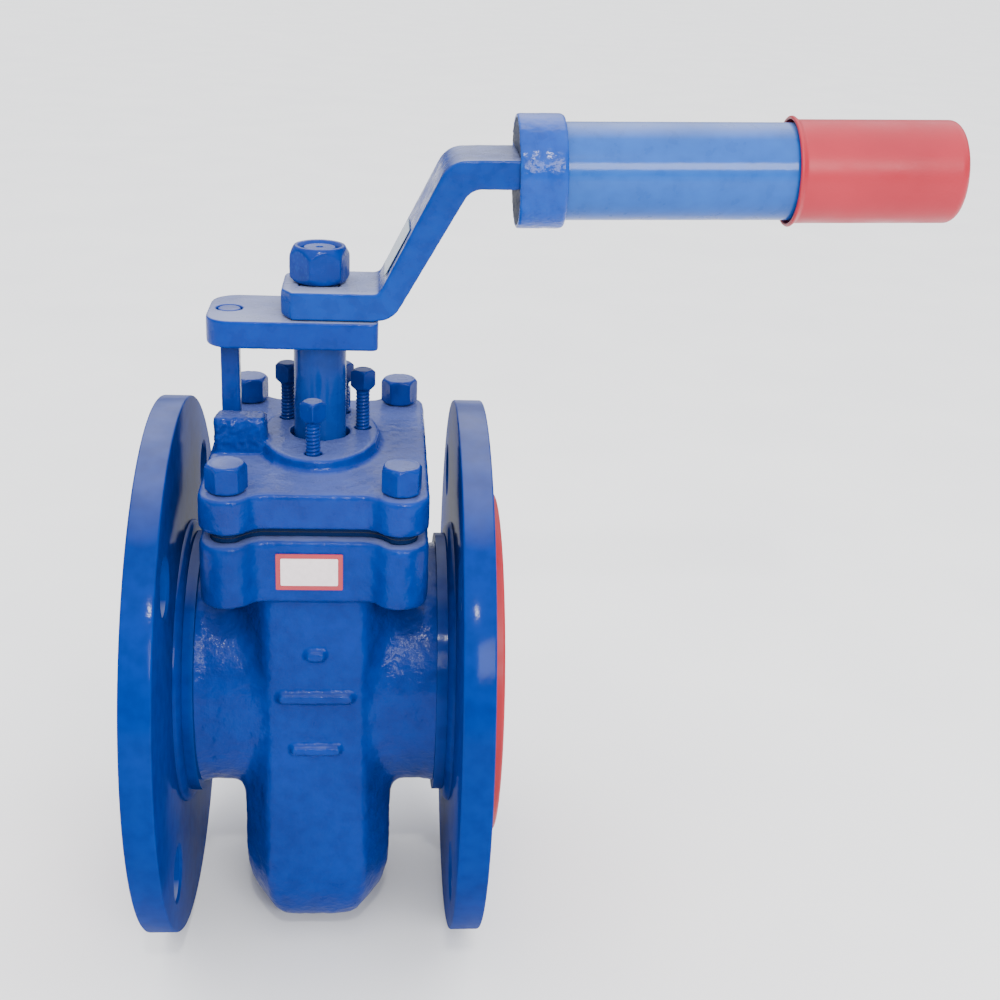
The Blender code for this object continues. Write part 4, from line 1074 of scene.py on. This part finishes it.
def build_all():
    flange(-1.0)
    flange(1.0)
    casting()
    bonnet()
    bonnet_bolts()
    adjusting_bolts()
    plug_core()
    stem()
    stem_nut()
    stop_plate()
    stop_pin()
    lever()
    handle_collar()
    handle_tube()
    handle_cap()
    lever_label()
    sticker()
    flange_cover(-1.0)
    flange_cover(1.0)


build_all()
for node, slot in (("plug_sleeve", "seal_plastic"), ("ptfe_diaphragm", "gasket_paint"),
                   ("metal_diaphragm", "gasket_paint"), ("thrust_collar", "bare_steel")):
    repaint(node, slot)


# Floor, lights and camera.

CAMERA_PLACE = (0.0199, -0.4789, 0.3449)
CAMERA_YAW = math.radians(-5.11)
CAMERA_PITCH = math.radians(21.98)
CAMERA_ROLL = math.radians(2.63)
FOCAL_WIDTHS = 1.4743
SENSOR = 36.0


def add_camera():
    data = bpy.data.cameras.new("photo_camera")
    data.sensor_width = SENSOR
    data.lens = SENSOR * FOCAL_WIDTHS
    data.clip_start = 0.01
    camera = bpy.data.objects.new("photo_camera", data)
    turn = Matrix.Rotation(CAMERA_YAW, 4, "Z") @ Matrix.Rotation(math.pi / 2.0 - CAMERA_PITCH, 4, "X")
    turn = turn @ Matrix.Rotation(CAMERA_ROLL, 4, "Z")
    camera.matrix_world = Matrix.Translation(CAMERA_PLACE) @ turn
    bpy.context.scene.collection.objects.link(camera)
    bpy.context.scene.camera = camera


def add_floor():
    reach = 8.0
    depth = 0.02
    bm = box((-reach, -reach, BODY_LOW.z - depth), (reach, reach, BODY_LOW.z - 0.05 * MM))
    floor = make("floor", bm, (0.0, 0.0, 0.0))
    material, tree, shader, place = new_material("pale_floor")
    tone = grain(tree, place, 60.0 * MM, 5.0)
    base = ramp(tree, tone, [(0.3, (0.80, 0.80, 0.80)), (0.7, (0.84, 0.84, 0.83))])
    tree.links.new(base, shader.inputs["Base Color"])
    shader.inputs["Roughness"].default_value = 0.75
    set_bump(tree, shader, [(grain(tree, place, 4.0 * MM, 3.0), 0.15, 0.4 * MM)], coat=False)
    floor.data.materials.append(material)


def add_light(name, place, target, size, power, height=None):
    """Round area light, or a long one when height is given."""
    data = bpy.data.lights.new(name, "AREA")
    data.shape = "RECTANGLE" if height else "DISK"
    data.size = size
    if height:
        data.size_y = height
    data.energy = power
    light = bpy.data.objects.new(name, data)
    light.location = place
    aim = Vector(target) - Vector(place)
    light.rotation_euler = aim.to_track_quat("-Z", "Y").to_euler()
    bpy.context.scene.collection.objects.link(light)


def add_world():
    """Soft dome, bright overhead and dim towards the horizon."""
    world = bpy.data.worlds.new("studio")
    world.use_nodes = True
    tree = world.node_tree
    direction = add(tree, "ShaderNodeTexCoord").outputs["Generated"]
    height = add(tree, "ShaderNodeSeparateXYZ", Vector=direction).outputs["Z"]
    level = add(tree, "ShaderNodeMapRange", Value=height, From_Min=0.2, From_Max=0.75,
                To_Min=0.5, To_Max=3.4).outputs["Result"]
    background = tree.nodes["Background"]
    background.inputs["Color"].default_value = (0.96, 0.97, 1.0, 1.0)
    tree.links.new(level, background.inputs["Strength"])
    bpy.context.scene.world = world


add_camera()
add_floor()
add_world()
add_light("key_light", place=(0.05, -1.0, 1.15), target=(0.05, 0.0, 0.1), size=0.06, power=6.0)
add_light("strip_light", place=(0.38, -1.2, 0.74), target=(0.1, 0.0, 0.2), size=0.6, power=15.0, height=0.34)
